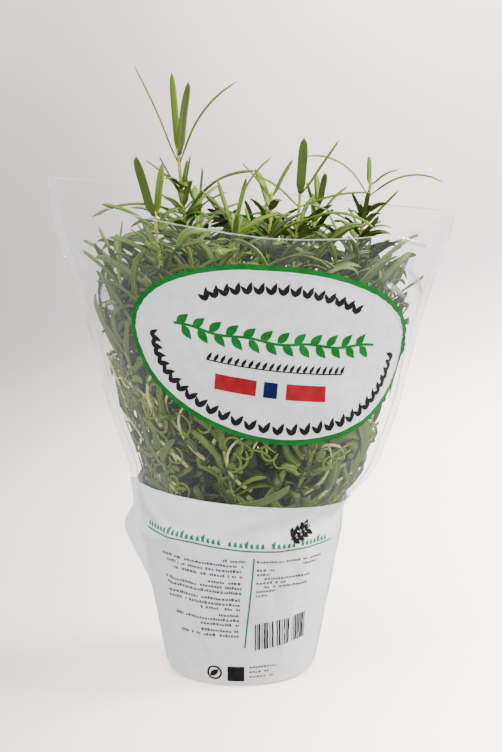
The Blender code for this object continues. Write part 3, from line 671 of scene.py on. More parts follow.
class Sheet:
    """Flat shapes on the unrolled panel, laid on to the standing film as one piece."""

    def __init__(self, panel, across, up, lean=0.0, lift=INK_LIFT, drop=0.0):
        self.panel, self.across, self.up, self.lean, self.lift = panel, across, up, lean, lift
        self.drop = drop
        self.points, self.faces = [], []

    def grid(self, rows):
        """Rows of as many (across, up) points each, in metres from the sheet's own middle."""
        first = len(self.points)
        columns = len(rows[0])
        self.points += [point for row in rows for point in row]
        self.faces += [tuple(first + i for i in face) for face in grid_faces(len(rows), columns)]

    def bar(self, left, low, right, high, cell=0.003, slope=0.0):
        nx = max(1, math.ceil((right - left) / cell))
        ny = max(1, math.ceil((high - low) / cell))
        xs = [left + (right - left) * i / nx for i in range(nx + 1)]
        ys = [low + (high - low) * i / ny for i in range(ny + 1)]
        self.grid([[(x, y + slope * x) for x in xs] for y in ys])

    def stroke(self, route, width):
        """A line of even width along (across, up) points."""
        low, high = [], []
        for i, (x, y) in enumerate(route):
            a, b = route[max(i - 1, 0)], route[min(i + 1, len(route) - 1)]
            length = math.hypot(b[0] - a[0], b[1] - a[1])
            nx, ny = -(b[1] - a[1]) / length * width / 2, (b[0] - a[0]) / length * width / 2
            low.append((x - nx, y - ny))
            high.append((x + nx, y + ny))
        self.grid([low, high])

    def blade(self, x, y, length, width, degrees, steps=6):
        """A leaf shape that starts at a point and runs at an angle."""
        c, s = math.cos(math.radians(degrees)), math.sin(math.radians(degrees))
        low, high = [], []
        for i in range(steps + 1):
            t = i / steps
            half = width / 2 * math.sin(math.pi * min(1, t**0.8)) + 0.00008
            along = length * t
            low.append((x + along * c + half * s, y + along * s - half * c))
            high.append((x + along * c - half * s, y + along * s + half * c))
        self.grid([low, high])

    def oval(self, inner, outer, half_wide, half_high, power, steps=160):
        """The band of an oval between two insets from its rim. An inner of None fills it."""
        if inner is None:
            shares = [1 - (outer + (half_high - outer) * i / 16) / half_high for i in range(17)]
            halves = [(half_wide * share, half_high * share) for share in shares]
        else:
            halves = [(half_wide - inset, half_high - inset) for inset in (outer, inner)]
        rows = []
        for wide, high in halves:
            row = []
            for i in range(steps + 1):
                t = 2 * math.pi * i / steps
                x = signed_power(math.cos(t), 2 / power) * max(wide, TINY)
                row.append((x, signed_power(math.sin(t), 2 / power) * max(high, TINY)))
            rows.append(row)
        self.grid(rows)

    def laid(self, name, look):
        placed = []
        for x, y in self.points:
            up = min(SLEEVE_LENGTH, max(0.0005, self.up + y - self.drop * x))
            turn = turn_at(self.panel, self.across + x + self.lean * y, up)
            placed.append(film_point(self.panel, turn, up, self.lift))
        obj = mesh_object(name, placed, self.faces, look)
        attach(obj, "root")
        return obj


def ink_look(name, colour, other, cover=1.0):
    """Printed ink under the film's gloss, a little uneven."""
    ink = Surface(name)
    uneven = ink.noise(160, 3)
    colouring = uneven.between(0.35, 0.7).blend(colour, other)
    ink.set(base_color=colouring, roughness=0.3, coat_weight=0.05, coat_roughness=0.1)
    ink.shader.inputs["Specular IOR Level"].default_value = 0.12
    ink.bump(ink.noise(60, 4), 0.0016, 0.4)
    if cover < 1:
        clear = ink.node("ShaderNodeBsdfTransparent")
        ink.shown(ink.mixed(cover, clear, ink.own_shader()))
    return ink.material


white_ink = ink_look("label_white", (0.64, 0.67, 0.655), (0.72, 0.745, 0.73), 0.94)
thin_white_ink = ink_look("label_white_thin", (0.62, 0.64, 0.635), (0.72, 0.74, 0.73), 0.40)
green_ink = ink_look("label_green", (0.004, 0.095, 0.012), (0.008, 0.13, 0.02))
pink_ink = ink_look("label_rim_line", (0.70, 0.63, 0.68), (0.76, 0.71, 0.74))
black_ink = ink_look("ink_black", (0.006, 0.005, 0.007), (0.012, 0.010, 0.012))
red_ink = ink_look("ink_red", (0.24, 0.006, 0.012), (0.30, 0.010, 0.018))
blue_ink = ink_look("ink_blue", (0.002, 0.004, 0.055), (0.004, 0.008, 0.08))
teal_ink = ink_look("band_green", (0.01, 0.15, 0.08), (0.02, 0.19, 0.11))
grey_ink = ink_look("band_ticks", (0.07, 0.075, 0.10), (0.12, 0.13, 0.16))

LABEL_WIDE = 0.0832
LABEL_HIGH = 0.0480
LABEL_UP = 0.1865
LABEL_ACROSS = 0.0148
LABEL_POWER = 1.90
LABEL_DROP = 0.062
RIM = 0.0030


def label(panel, word):
    def sheet(lift):
        return Sheet(panel, LABEL_ACROSS, LABEL_UP, SKEW, lift, LABEL_DROP)

    ground = sheet(INK_LIFT)
    ground.oval(None, RIM * 0.6, LABEL_WIDE, LABEL_HIGH, LABEL_POWER)
    ground.laid("label_ground_" + word, white_ink if panel < 0 else thin_white_ink)
    rim = sheet(UPPER_LIFT)
    rim.oval(RIM, 0.0, LABEL_WIDE, LABEL_HIGH, LABEL_POWER)
    line = sheet(UPPER_LIFT)
    line.oval(RIM + 0.0008, RIM, LABEL_WIDE, LABEL_HIGH, LABEL_POWER)
    line.laid("label_rim_line_" + word, pink_ink)
    # A garland of leaf pairs along the middle.
    twig = [(-0.058 + 0.112 * i / 40, 0.0068 + 0.0007 * math.sin(i * 0.55)) for i in range(41)]
    rim.stroke(twig, 0.0014)
    for i in range(12):
        x = -0.0565 + 0.0089 * i
        rim.blade(x, 0.0070, 0.0086, 0.0044, 46)
        rim.blade(x + 0.0030, 0.0066, 0.0086, 0.0044, -46)
    rim.laid("label_rim_and_garland_" + word, green_ink)
    # Leaf marks along the upper and lower arcs, and a row of dashes between.
    marks = sheet(UPPER_LIFT)
    for low, high, share, count, size in ((50, 134, 0.745, 15, 0.0072), (184, 358, 0.815, 29, 0.0074)):
        for i in range(count):
            t = math.radians(low + (high - low) * i / (count - 1))
            x, y = LABEL_WIDE * share * math.cos(t), LABEL_HIGH * share * math.sin(t)
            out = math.degrees(math.atan2(y / LABEL_HIGH**2, x / LABEL_WIDE**2))
            upright = out if low < 180 else out + 180
            back = math.radians(upright)
            foot = (x - math.cos(back) * size / 2, y - math.sin(back) * size / 2)
            marks.blade(*foot, size, 0.0028, upright - 22)
            marks.blade(*foot, size * 0.78, 0.0024, upright + 34)
    marks.stroke([(-0.039 + 0.0735 * i / 20, -0.0082) for i in range(21)], 0.0007)
    for i in range(21):
        marks.blade(-0.0385 + 0.0036 * i, -0.0082, 0.0050, 0.0017, 62)
    marks.laid("label_marks_" + word, black_ink)
    for name, ink, spans in (
        ("label_red_bars_", red_ink, ((-0.0336, -0.0120), (0.0036, 0.0254))),
        ("label_blue_bar_", blue_ink, ((-0.0082, -0.0010),)),
    ):
        bars = sheet(UPPER_LIFT)
        for left, right in spans:
            bars.bar(left, -0.0232, right, -0.0146)
        bars.laid(name + word, ink)


label(-1, "front")
label(1, "back")

RULE_UP = 0.0800
RULE_WIDTH = 0.00085
INKED_SHARE = 0.86


def rule_height(x):
    """The green rule dips a little near the middle of the band."""
    return RULE_UP - 0.0016 * ease(1 - abs(x - 0.012) / 0.05)


def band_print(panel, word):
    chance = random.Random(40 + panel)
    teal = Sheet(panel, 0.0, 0.0)
    span = [-0.060 + 0.120 * i / 60 for i in range(61)]
    teal.stroke([(x, rule_height(x)) for x in span], RULE_WIDTH)
    teal.stroke([(0.0072 - 0.0050 * i / 12, 0.0745 - 0.0525 * i / 12) for i in range(13)], RULE_WIDTH)
    x = -0.0585
    while x < 0.056:
        if chance.random() < INKED_SHARE:
            y = rule_height(x) + 0.0014
            tall = 0.0048 if chance.random() < 0.3 else 0.0033
            teal.blade(x, y, tall, 0.0013, 70)
            teal.blade(x + 0.0013, y, tall * 0.8, 0.0012, 116)
        x += 0.0029
    teal.laid("band_rules_" + word, teal_ink)

    ticks = Sheet(panel, 0.0055, 0.0)

    def tick_row(left, right, up, tall):
        x = left
        while x < right:
            run = chance.uniform(0.0010, 0.0021)
            if chance.random() < INKED_SHARE:
                end = min(right, x + run * 0.72)
                ticks.bar(x, up, end, up + tall * chance.uniform(0.7, 1.15))
            x += run

    for right, left, up in (
        (-0.0030, -0.0150, 0.0716), (-0.0040, -0.0520, 0.0688), (-0.0040, -0.0490, 0.0657),
        (-0.0045, -0.0440, 0.0627), (-0.0050, -0.0230, 0.0588), (-0.0050, -0.0500, 0.0560),
        (-0.0052, -0.0490, 0.0532), (-0.0056, -0.0480, 0.0492), (-0.0056, -0.0470, 0.0463),
        (-0.0058, -0.0270, 0.0436), (-0.0062, -0.0170, 0.0400), (-0.0062, -0.0430, 0.0372),
        (-0.0064, -0.0270, 0.0344), (-0.0066, -0.0280, 0.0308), (-0.0066, -0.0400, 0.0280),
    ):
        tick_row(left, right, up, 0.0014)
    for left, right, up in (
        (0.0030, 0.0440, 0.0718), (0.0300, 0.0400, 0.0692), (0.0030, 0.0130, 0.0670),
        (0.0030, 0.0100, 0.0645), (0.0070, 0.0360, 0.0620), (0.0026, 0.0190, 0.0596),
        (0.0070, 0.0330, 0.0572), (0.0024, 0.0130, 0.0548), (0.0022, 0.0090, 0.0524),
    ):
        tick_row(left, right, up, 0.0012)
    for right, up in ((0.0140, 0.0100), (0.0100, 0.0072), (0.0120, 0.0044)):
        tick_row(-0.0010, right, up, 0.0010)
    ticks.laid("band_tick_rows_" + word, grey_ink)

    dark = Sheet(panel, 0.0055, 0.0)
    x = 0.0020
    while x < 0.0325:
        thick = chance.choice((0.00035, 0.0006, 0.0009))
        if not 0.0120 < x < 0.0135 and not 0.0215 < x < 0.0232:
            dark.bar(x, 0.0200, x + thick, 0.0355, slope=0.12)
        x += thick + chance.choice((0.0004, 0.0006, 0.0009))
    ring = [
        (-0.0195 + 0.0036 * math.cos(t), 0.0068 + 0.0036 * math.sin(t))
        for t in (math.radians(12 * i) for i in range(31))
    ]
    dark.stroke(ring, 0.0010)
    dark.blade(-0.0218, 0.0048, 0.0060, 0.0030, 42)
    dark.bar(-0.0125, 0.0022, -0.0036, 0.0108, cell=0.0015)
    # A plain sprig where the band widens.
    dark.stroke([(0.0215 + 0.0140 * i / 8, 0.0850 + 0.0070 * i / 8) for i in range(9)], 0.0009)
    for i in range(4):
        x, y = 0.0225 + 0.0030 * i, 0.0855 + 0.0015 * i
        dark.blade(x, y, 0.0066, 0.0030, 84)
        dark.blade(x, y, 0.0062, 0.0030, -34)
    dark.laid("band_dark_marks_" + word, black_ink)


band_print(-1, "front")
band_print(1, "back")

# ---------------------------------------------------------------- cuttings
# Two dozen rooted cuttings: a square stem each, with needle leaves in crossed pairs. The roots, tips
# and leaf rules are the CAD's own, so each fine leaf lies where the CAD's plain one does.

SOCKET_DEPTH = 0.008
ROOT_TO_POT = 0.007
MOUTH_OVER_LIP = 0.16
STEM_WIDTH = 0.0022
STEM_TO_FILM = 0.0045
LEAF_THICKNESS = 0.0009
LEAF_STEPS = 6
LEAF_TO_FILM = 0.0026
LEAF_EDGE_TO_FILM = 0.0009
LEAF_TRIES = 14
PAIR_SPACING = 0.0125
SEED = 11
# A cutting: its name, its root as a share of the soil's radius and a bearing in degrees, its tip across
# and along in lip radii and above the lip in metres, the height over the lip at which its leaves begin,
# and its own leaves. Bearings run from +X towards +Y, so 270 faces the front.
# A leaf: millimetres below the tip, bearing, length in millimetres, how far it opens from the stem and
# how far it then arches over in degrees, and its width in millimetres.
CUTTINGS = (
    ("cutting_tall_left", 0.30, 205, (-0.62, -0.34, 0.197), 0.035, (
        (3, 92, 43, 5, 4, 3.6),
        (3, 306, 43, 11, 16, 5.2),
        (7, 182, 56, 14, 10, 3.0),
        (7, 6, 53, 17, 50, 3.2),
        (24, 186, 23, 20, 4, 3.4),
        (24, 4, 21, 12, 6, 3.4),
        (35, 332, 54, 36, 58, 5.4),
        (35, 186, 50, 56, 62, 3.6),
        (41, 250, 36, 50, 62, 5.0),
        (41, 150, 24, 58, 30, 3.4),
    )),
    ("cutting_left_broad", 0.62, 188, (-0.85, -0.57, 0.166), 0.030, (
        (2, 235, 37, 14, 4, 6.2),
        (2, 60, 27, 16, 14, 4.4),
        (9, 160, 33, 42, 52, 3.8),
        (9, 350, 30, 34, 60, 4.0),
        (18, 255, 32, 56, 50, 5.0),
    )),
    ("cutting_front", 0.45, 262, (-0.07, -0.78, 0.167), 0.028, (
        (2, 12, 46, 14, 60, 2.9),
        (2, 190, 24, 40, 10, 3.4),
        (7, 50, 29, 18, 8, 2.9),
        (7, 130, 25, 22, 10, 2.9),
        (11, 214, 48, 60, 74, 5.0),
        (11, 20, 26, 52, 40, 4.2),
        (20, 250, 34, 58, 60, 5.4),
        (20, 80, 30, 56, 50, 4.2),
    )),
    ("cutting_centre", 0.12, 330, (0.31, -0.23, 0.173), 0.040, (
        (2, 196, 24, 34, 16, 3.2),
        (2, 28, 22, 20, 20, 3.2),
        (9, 280, 26, 44, 50, 4.6),
        (9, 110, 30, 40, 40, 4.0),
    )),
    ("cutting_right_centre", 0.42, 322, (0.60, -0.08, 0.173), 0.032, (
        (2, 268, 31, 8, 4, 5.0),
        (2, 345, 35, 28, 4, 4.8),
        (9, 0, 38, 60, 32, 3.4),
        (9, 176, 28, 42, 40, 3.4),
        (18, 338, 46, 52, 76, 4.8),
        (18, 200, 36, 56, 66, 4.4),
    )),
    ("cutting_right", 0.66, 8, (1.32, 0.30, 0.174), 0.028, (
        (2, 120, 15, 14, 8, 3.0),
        (2, 340, 17, 28, 50, 3.4),
        (8, 181, 43, 32, 82, 3.2),
        (8, 359, 43, 34, 80, 3.2),
        (17, 296, 22, 48, 36, 4.4),
        (25, 8, 27, 26, 10, 3.4),
        (25, 200, 36, 72, 14, 3.6),
    )),
    ("cutting_back_left", 0.50, 140, (-0.45, 0.57, 0.162), 0.040, ()),
    ("cutting_back_right", 0.50, 60, (0.81, 0.65, 0.160), 0.040, ()),
    ("cutting_left_edge", 0.86, 172, (-1.27, 0.08, 0.138), 0.032, ()),
    ("cutting_right_edge", 0.88, 344, (1.55, -0.11, 0.124), 0.032, ()),
    ("cutting_back", 0.30, 95, (0.16, 0.69, 0.146), 0.040, ()),
    ("cutting_low_front_left", 0.78, 236, (-0.66, -0.82, 0.114), 0.010, ()),
    ("cutting_low_front_right", 0.76, 296, (0.54, -0.88, 0.116), 0.010, ()),
    ("cutting_low_right", 0.72, 326, (1.08, -0.61, 0.106), 0.010, ()),
    ("cutting_low_left", 0.90, 208, (-1.17, -0.42, 0.096), 0.010, ()),
    ("cutting_low_back", 0.78, 82, (0.28, 0.88, 0.110), 0.010, ()),
    ("cutting_low_back_left", 0.80, 124, (-0.83, 0.72, 0.100), 0.010, ()),
    ("cutting_low_back_right", 0.80, 42, (1.15, 0.61, 0.098), 0.010, ()),
    ("cutting_skirt_front", 0.92, 268, (-0.18, -1.03, 0.052), 0.004, ()),
    ("cutting_skirt_front_right", 0.93, 306, (0.77, -0.88, 0.050), 0.004, ()),
    ("cutting_skirt_front_left", 0.96, 224, (-0.90, -0.69, 0.048), 0.004, ()),
    ("cutting_skirt_right", 0.96, 8, (1.30, 0.08, 0.052), 0.004, ()),
    ("cutting_skirt_left", 0.98, 184, (-1.17, 0.11, 0.056), 0.004, ()),
    ("cutting_skirt_back", 0.93, 98, (-0.07, 1.03, 0.052), 0.004, ()),
)


def root_place(share, bearing):
    reach = share * (soil_radius(SOIL_TOP) - ROOT_TO_POT)
    turn = math.radians(bearing)
    return reach * math.cos(turn), reach * math.sin(turn)


def film_measure(point):
    """Below 1 inside the film's outline at the point's height, 1 on it."""
    centre, wide, deep, power = sleeve_outline(point.z)
    return abs((point.x - centre) / wide) ** power + abs(point.y / deep) ** power


def outline_turn(point, height):
    """The outline's parameter, at a height, on the point's own bearing."""
    centre, wide, deep, power = sleeve_outline(height)
    x, y = (point.x - centre) / wide, point.y / deep
    return math.atan2(signed_power(y, power / 2), signed_power(x, power / 2))


def mouth_height(point):
    """Height of the film's cut mouth on the point's own bearing."""
    return printed_height(outline_turn(point, POT_HEIGHT + MOUTH_OVER_LIP), SLEEVE_LENGTH)


def film_normal(point):
    """Outward level direction of the film nearest the point."""
    centre, wide, deep, power = sleeve_outline(point.z)
    x = signed_power((point.x - centre) / wide, power - 1) / wide
    y = signed_power(point.y / deep, power - 1) / deep
    return Vector((x, y, 0)).normalized() if x or y else Vector((0, 1, 0))


def keep_in(point, margin):
    """Moves a point that would leave the pot or the sleeve back inside by the margin."""
    point = point.copy()
    point.z = max(point.z, SOIL_TOP + 0.003)
    if point.z < POT_HEIGHT + margin and math.hypot(point.x, point.y) > THROAT_RADIUS - margin:
        point.z = POT_HEIGHT + margin
    if point.z > mouth_height(point) + 0.003:
        return point
    centre, wide, deep, power = sleeve_outline(point.z)
    wide, deep = wide - margin, deep - margin
    measure = abs((point.x - centre) / wide) ** power + abs(point.y / deep) ** power
    if measure > 1:
        scale = measure ** (-1 / power)
        point.x = centre + (point.x - centre) * scale
        point.y *= scale
    return point


def meets_edge(point, radius):
    """Whether a ball there would touch the pot's lip or the cut edge of the film."""
    slack = GAP + radius * 0.3
    reach = math.hypot(point.x, point.y)
    on_lip = point.z < POT_HEIGHT + slack and reach > THROAT_RADIUS - slack
    edge = mouth_height(point)
    near_edge = abs(point.z - edge) < 0.004 + radius and abs(film_measure(point) - 1) < 0.06
    return on_lip or near_edge


class Taken:
    """The space that placed stems and leaves hold, as chains of balls."""

    def __init__(self):
        self.centres = np.empty((0, 3))
        self.radii = np.empty(0)
        self.owners = np.empty(0, int)
        self.loose = np.empty(0, bool)
        self.widest = 0.0

    def add(self, points, radii, owner, loose):
        self.widest = max(self.widest, float(np.max(radii)))
        self.centres = np.concatenate([self.centres, np.array(points, float).reshape(-1, 3)])
        self.radii = np.concatenate([self.radii, radii])
        self.owners = np.concatenate([self.owners, np.full(len(points), owner)])
        self.loose = np.concatenate([self.loose, loose])

    def blocks(self, points, radii, owner):
        """Whether balls would touch another cutting, or the free ends of the same one's leaves."""
        if not len(self.centres):
            return False
        points, radii = np.array(points, float).reshape(-1, 3), np.array(radii)
        reach = radii.max() + self.widest + 2 * GAP
        near = (self.centres > points.min(axis=0) - reach) & (self.centres < points.max(axis=0) + reach)
        near = near.all(axis=1)
        away = np.linalg.norm(points[:, None] - self.centres[near][None], axis=2)
        need = radii[:, None] + self.radii[near][None]
        other = self.owners[near] != owner
        if (away[:, other] < need[:, other] + GAP + 0.0003).any():
            return True
        own = ~other & self.loose[near]
        outer = len(points) // 3
        return bool((away[outer:, own] < 0.55 * need[outer:, own]).any())


def chain(points, spacing=0.002):
    """Points no further apart than spacing along a polyline."""
    found = [points[0]]
    for a, b in zip(points, points[1:]):
        count = max(1, math.ceil((b - a).length / spacing))
        found += [a.lerp(b, (i + 1) / count) for i in range(count)]
    return found


class Stem:
    """A cutting's stem: a smooth line from its socket to its tip, with a steady frame along it."""

    def __init__(self, root, tip, sway, turn):
        foot = Vector((root[0], root[1], SOIL_TOP + 0.002))
        tip = Vector((tip[0] * LIP_RADIUS, tip[1] * LIP_RADIUS, POT_HEIGHT + tip[2]))
        climb = tip.z - foot.z
        over = Vector((root[0], root[1], 0)) * 0.12
        lower = foot + Vector((0, 0, 0.42 * climb)) + over + sway
        drawn_back = Vector(((tip.x - foot.x) * 0.22, (tip.y - foot.y) * 0.22, 0.34 * climb))
        upper = tip - drawn_back + sway * 0.6
        self.points = [foot - Vector((0, 0, 0.002 + SOCKET_DEPTH - 2 * GAP))]
        for i in range(25):
            t = i / 24
            point = (
                foot * (1 - t) ** 3 + lower * 3 * t * (1 - t) ** 2
                + upper * 3 * t * t * (1 - t) + tip * t**3
            )
            self.points.append(keep_in(point, STEM_TO_FILM) if point.z > POT_HEIGHT - 0.004 else point)
        steps = [(b - a).length for a, b in zip(self.points, self.points[1:])]
        self.along = [sum(steps[:i]) for i in range(len(steps) + 1)]
        self.length = self.along[-1]
        self.turn = turn

    def at(self, distance):
        """Point and direction at a distance from the foot."""
        distance = min(self.length, max(0.0, distance))
        i = max(k for k in range(len(self.points) - 1) if self.along[k] <= distance)
        share = (distance - self.along[i]) / (self.along[i + 1] - self.along[i])
        point = self.points[i].lerp(self.points[i + 1], share)
        last = len(self.points) - 1
        ahead = [
            (self.points[min(k + 1, last)] - self.points[max(k - 1, 0)]).normalized()
            for k in (i, i + 1)
        ]
        return point, ahead[0].lerp(ahead[1], share).normalized()

    def distance_at_height(self, height):
        for i, point in enumerate(self.points):
            if point.z >= height:
                return self.along[i]
        return self.length

    def bearing(self, direction, degrees):
        """The direction square to the stem that faces a bearing."""
        turn = math.radians(degrees)
        flat = Vector((math.cos(turn), math.sin(turn), 0))
        return (flat - direction * flat.dot(direction)).normalized()


class Leaf:
    """A needle leaf: its spine, half widths and the two directions across it."""

    def __init__(self, stem, distance, bearing, length, opening, arch, width):
        point, direction = stem.at(distance)
        outward = stem.bearing(direction, bearing)
        across = direction.cross(outward).normalized()
        self.distance, self.outward, self.width = distance, outward, width
        spine = [point + outward * STEM_WIDTH / 2]
        for i in range(LEAF_STEPS):
            share = (i + 0.5) / LEAF_STEPS
            angle = math.radians(opening + arch * share**1.25)
            heading = direction * math.cos(angle) + outward * math.sin(angle)
            spine.append(keep_in(spine[-1] + heading * length / LEAF_STEPS, LEAF_TO_FILM))
        self.spine = spine
        self.sides, self.uppers = [], []
        for i, place in enumerate(spine):
            ahead = spine[min(i + 1, LEAF_STEPS)] - spine[max(i - 1, 0)]
            ahead = ahead.normalized() if ahead.length > 1e-9 else direction
            side = across
            if place.z > POT_HEIGHT and place.z < mouth_height(place):
                pressed = ahead.cross(film_normal(place))
                if pressed.length > 1e-6:
                    pressed = pressed.normalized() * (1 if pressed.dot(across) >= 0 else -1)
                    near = ease((film_measure(place) - 0.72) / 0.2)
                    side = across.lerp(pressed, near)
            side = (side - ahead * side.dot(ahead)).normalized()
            self.sides.append(side)
            self.uppers.append(ahead.cross(side))

    def half_width(self, share):
        """Widest at the middle, narrow at the stalk and blunt at the tip."""
        shape = (0.42 + 0.58 * ease(share / 0.3)) * (1 - max(0.0, share - 0.6) ** 2 / 0.16) ** 0.5
        return self.width / 2 * shape if share < 1 else 0.0

    def balls(self):
        """Balls along the drawn spine and along the straight pieces that the solid leaf follows."""
        chords = chain([self.spine[i] for i in range(0, LEAF_STEPS + 1, 2)])
        points = chords + self.spine[1:]
        shares = [i / (len(chords) - 1) for i in range(len(chords))]
        shares += [i / LEAF_STEPS for i in range(1, LEAF_STEPS + 1)]
        return points, [max(self.half_width(s), LEAF_THICKNESS) for s in shares], shares


def spec_leaves(stem, first_leaf, own, chooser):
    """Every leaf of a cutting: its own, then opposite pairs down the stem, each turned a quarter."""
    wanted = []
    lowest = stem.distance_at_height(POT_HEIGHT + first_leaf)
    for below, bearing, length, opening, arch, width in own:
        distance = stem.length - below / 1000
        wanted.append((distance, bearing, length / 1000, opening, arch, width / 1000, True))
    distance = min([w[0] for w in wanted], default=stem.length + 0.006) - 0.008
    pair = len({w[0] for w in wanted})
    turn = chooser.uniform(0, 180)
    while distance > lowest:
        age = min(1.0, pair / 5)
        for half_turn in (0, 180):
            bearing = turn + 90 * pair + half_turn + chooser.uniform(-14, 14)
            length = (0.017 + 0.019 * age) * chooser.uniform(0.85, 1.15)
            opening = 14 + 50 * age + chooser.uniform(-8, 8)
            arch = 12 + 48 * age + chooser.uniform(-14, 22)
            width = (0.0034 + 0.0014 * age) * chooser.uniform(0.85, 1.15)
            wanted.append((distance, bearing, length, opening, arch, width, False))
        pair += 1
        distance -= PAIR_SPACING * (0.55 + 0.45 * age) * chooser.uniform(0.9, 1.15)
    return wanted


def place_leaf(stem, wish, taken, owner, chooser):
    """The wished leaf, or the nearest one with free room around it. None if there is no room."""
    distance, bearing, length, opening, arch, width, _ = wish
    for attempt in range(LEAF_TRIES):
        spread = attempt / LEAF_TRIES
        leaf = Leaf(
            stem, distance, bearing + chooser.uniform(-60, 60) * spread, length * (1 - 0.45 * spread),
            opening + chooser.uniform(-26, 22) * spread, arch + chooser.uniform(-50, 40) * spread,
            width,
        )
        points, radii, shares = leaf.balls()
        if any(meets_edge(p, r) for p, r, s in zip(points, radii, shares) if s > 0.05):
            continue
        if not taken.blocks(points, radii, owner):
            taken.add(points, radii, owner, np.array(shares) > 0.3)
            return leaf
    return None


def plan_cuttings():
    """Stems first, each bent clear of the others, then the leaves."""
    chooser = random.Random(SEED)
    taken = Taken()
    stems = []
    for owner, (_, share, bearing, tip, _, _) in enumerate(CUTTINGS):
        root = root_place(share, bearing)
        turn = chooser.uniform(0, 90)
        for attempt in range(40):
            reach = 0.0006 * attempt
            sway = Vector((chooser.uniform(-reach, reach), chooser.uniform(-reach, reach), 0))
            stem = Stem(root, tip, sway, turn)
            points = chain(stem.points)
            radii = np.full(len(points), STEM_WIDTH * 0.72)
            if not taken.blocks(points, radii, owner):
                break
        taken.add(points, radii, owner, np.zeros(len(points), bool))
        stems.append(stem)
    wishes = [
        spec_leaves(stem, spec[4], spec[5], chooser) for stem, spec in zip(stems, CUTTINGS)
    ]
    leaves = [[] for _ in CUTTINGS]
    for own in (True, False):
        for owner, stem in enumerate(stems):
            for wish in wishes[owner]:
                if wish[6] is own:
                    leaf = place_leaf(stem, wish, taken, owner, chooser)
                    if leaf is not None:
                        leaves[owner].append(leaf)
    return stems, leaves


stems, leaves = plan_cuttings()

# Short side shoots fill the lower axils. They take only room that is still free.
TUFT_LEAVES = 6
TUFT_STARTS_BELOW = 0.020


def plan_tufts():
    chooser = random.Random(SEED + 1)
    taken = Taken()
    for owner, (stem, grown) in enumerate(zip(stems, leaves)):
        points = chain(stem.points)
        firm = np.zeros(len(points), bool)
        taken.add(points, np.full(len(points), STEM_WIDTH * 0.5), owner, firm)
        for leaf in grown:
            points, radii, shares = leaf.balls()
            taken.add(points, np.array(radii) * 0.75, owner, np.array(shares) > 0.3)
    tufts = [[] for _ in CUTTINGS]
    for owner, (stem, grown) in enumerate(zip(stems, leaves)):
        for node in sorted({leaf.distance for leaf in grown}):
            if node > stem.length - TUFT_STARTS_BELOW:
                continue
            for k in range(TUFT_LEAVES):
                long = 0.034 if k < 2 else 0.021
                wish = (
                    node + 0.002 + 0.0007 * k, chooser.uniform(0, 360), chooser.uniform(0.010, long),
                    chooser.uniform(14, 52), chooser.uniform(0, 90), chooser.uniform(0.0021, 0.0036),
                    False,
                )
                leaf = place_leaf(stem, wish, taken, owner, chooser)
                if leaf is not None:
                    tufts[owner].append(leaf)
    return tufts, taken


tufts, free_room = plan_tufts()

STATIONS = 13
# One turn round a leaf's section: how far across, and how high in leaf thicknesses. The margins roll
# under, the upper side has a groove over the midrib and the lower side a ridge.
SECTION = (
    (-1.0, -0.5), (-0.66, 0.32), (-0.16, 0.42), (0.0, -0.18), (0.16, 0.42), (0.66, 0.32), (1.0, -0.5),
    (0.56, -0.55), (0.0, -0.95), (-0.56, -0.55),
)
UNDERSIDE = (0, 0, 0, 0, 0, 0, 0, 1, 1, 1)
FINE_THICKNESS = 0.00055
ROLL = 0.26


def along_curve(points, where):
    """A smooth curve through points, at a share of its length from 0 to 1."""
    last = len(points) - 1
    i = min(last - 1, int(where * last))
    t = where * last - i
    p0, p1, p2, p3 = (points[min(last, max(0, k))] for k in (i - 1, i, i + 1, i + 2))
    return 0.5 * (
        2 * p1 + (p2 - p0) * t + (2 * p0 - 5 * p1 + 4 * p2 - p3) * t * t
        + (3 * p1 - p0 - 3 * p2 + p3) * t**3
    )


class Foliage:
    """The closed meshes of many leaves, gathered into one piece."""

    def __init__(self):
        self.points, self.faces = [], []
        self.marks = {"across": [], "along": [], "tone": [], "under": [], "young": []}

    def add(self, spine, sides, uppers, width, tone, young):
        first = len(self.points)
        for k in range(STATIONS):
            share = k / (STATIONS - 1)
            place = along_curve(spine, share)
            at = share * (len(sides) - 1)
            i = min(len(sides) - 2, int(at))
            side = sides[i].lerp(sides[i + 1], at - i).normalized()
            upper = uppers[i].lerp(uppers[i + 1], at - i).normalized()
            swell = 0.42 + 0.58 * ease(share / 0.20)
            blunt = max(0.0, 1 - max(0.0, (share - 0.62) / 0.38) ** 2.8) ** 0.58
            half = width / 2 * swell * max(blunt, 0.03)
            thick = FINE_THICKNESS * (0.45 + 0.55 * max(blunt, 0.1)) * (0.8 + 0.1 * width / 0.003)
            for (u, v), under in zip(SECTION, UNDERSIDE):
                rolled = -ROLL * half * u * u
                point = place + side * (half * u) + upper * (thick * v + rolled)
                self.points.append(keep_in(point, LEAF_EDGE_TO_FILM))
                for key, number in zip(self.marks, (u, share, tone, under, young)):
                    self.marks[key].append(number)
        self.faces += tube_faces(first, STATIONS, len(SECTION))

    def made(self, name, look):
        return mesh_object(name, self.points, self.faces, look, self.marks)


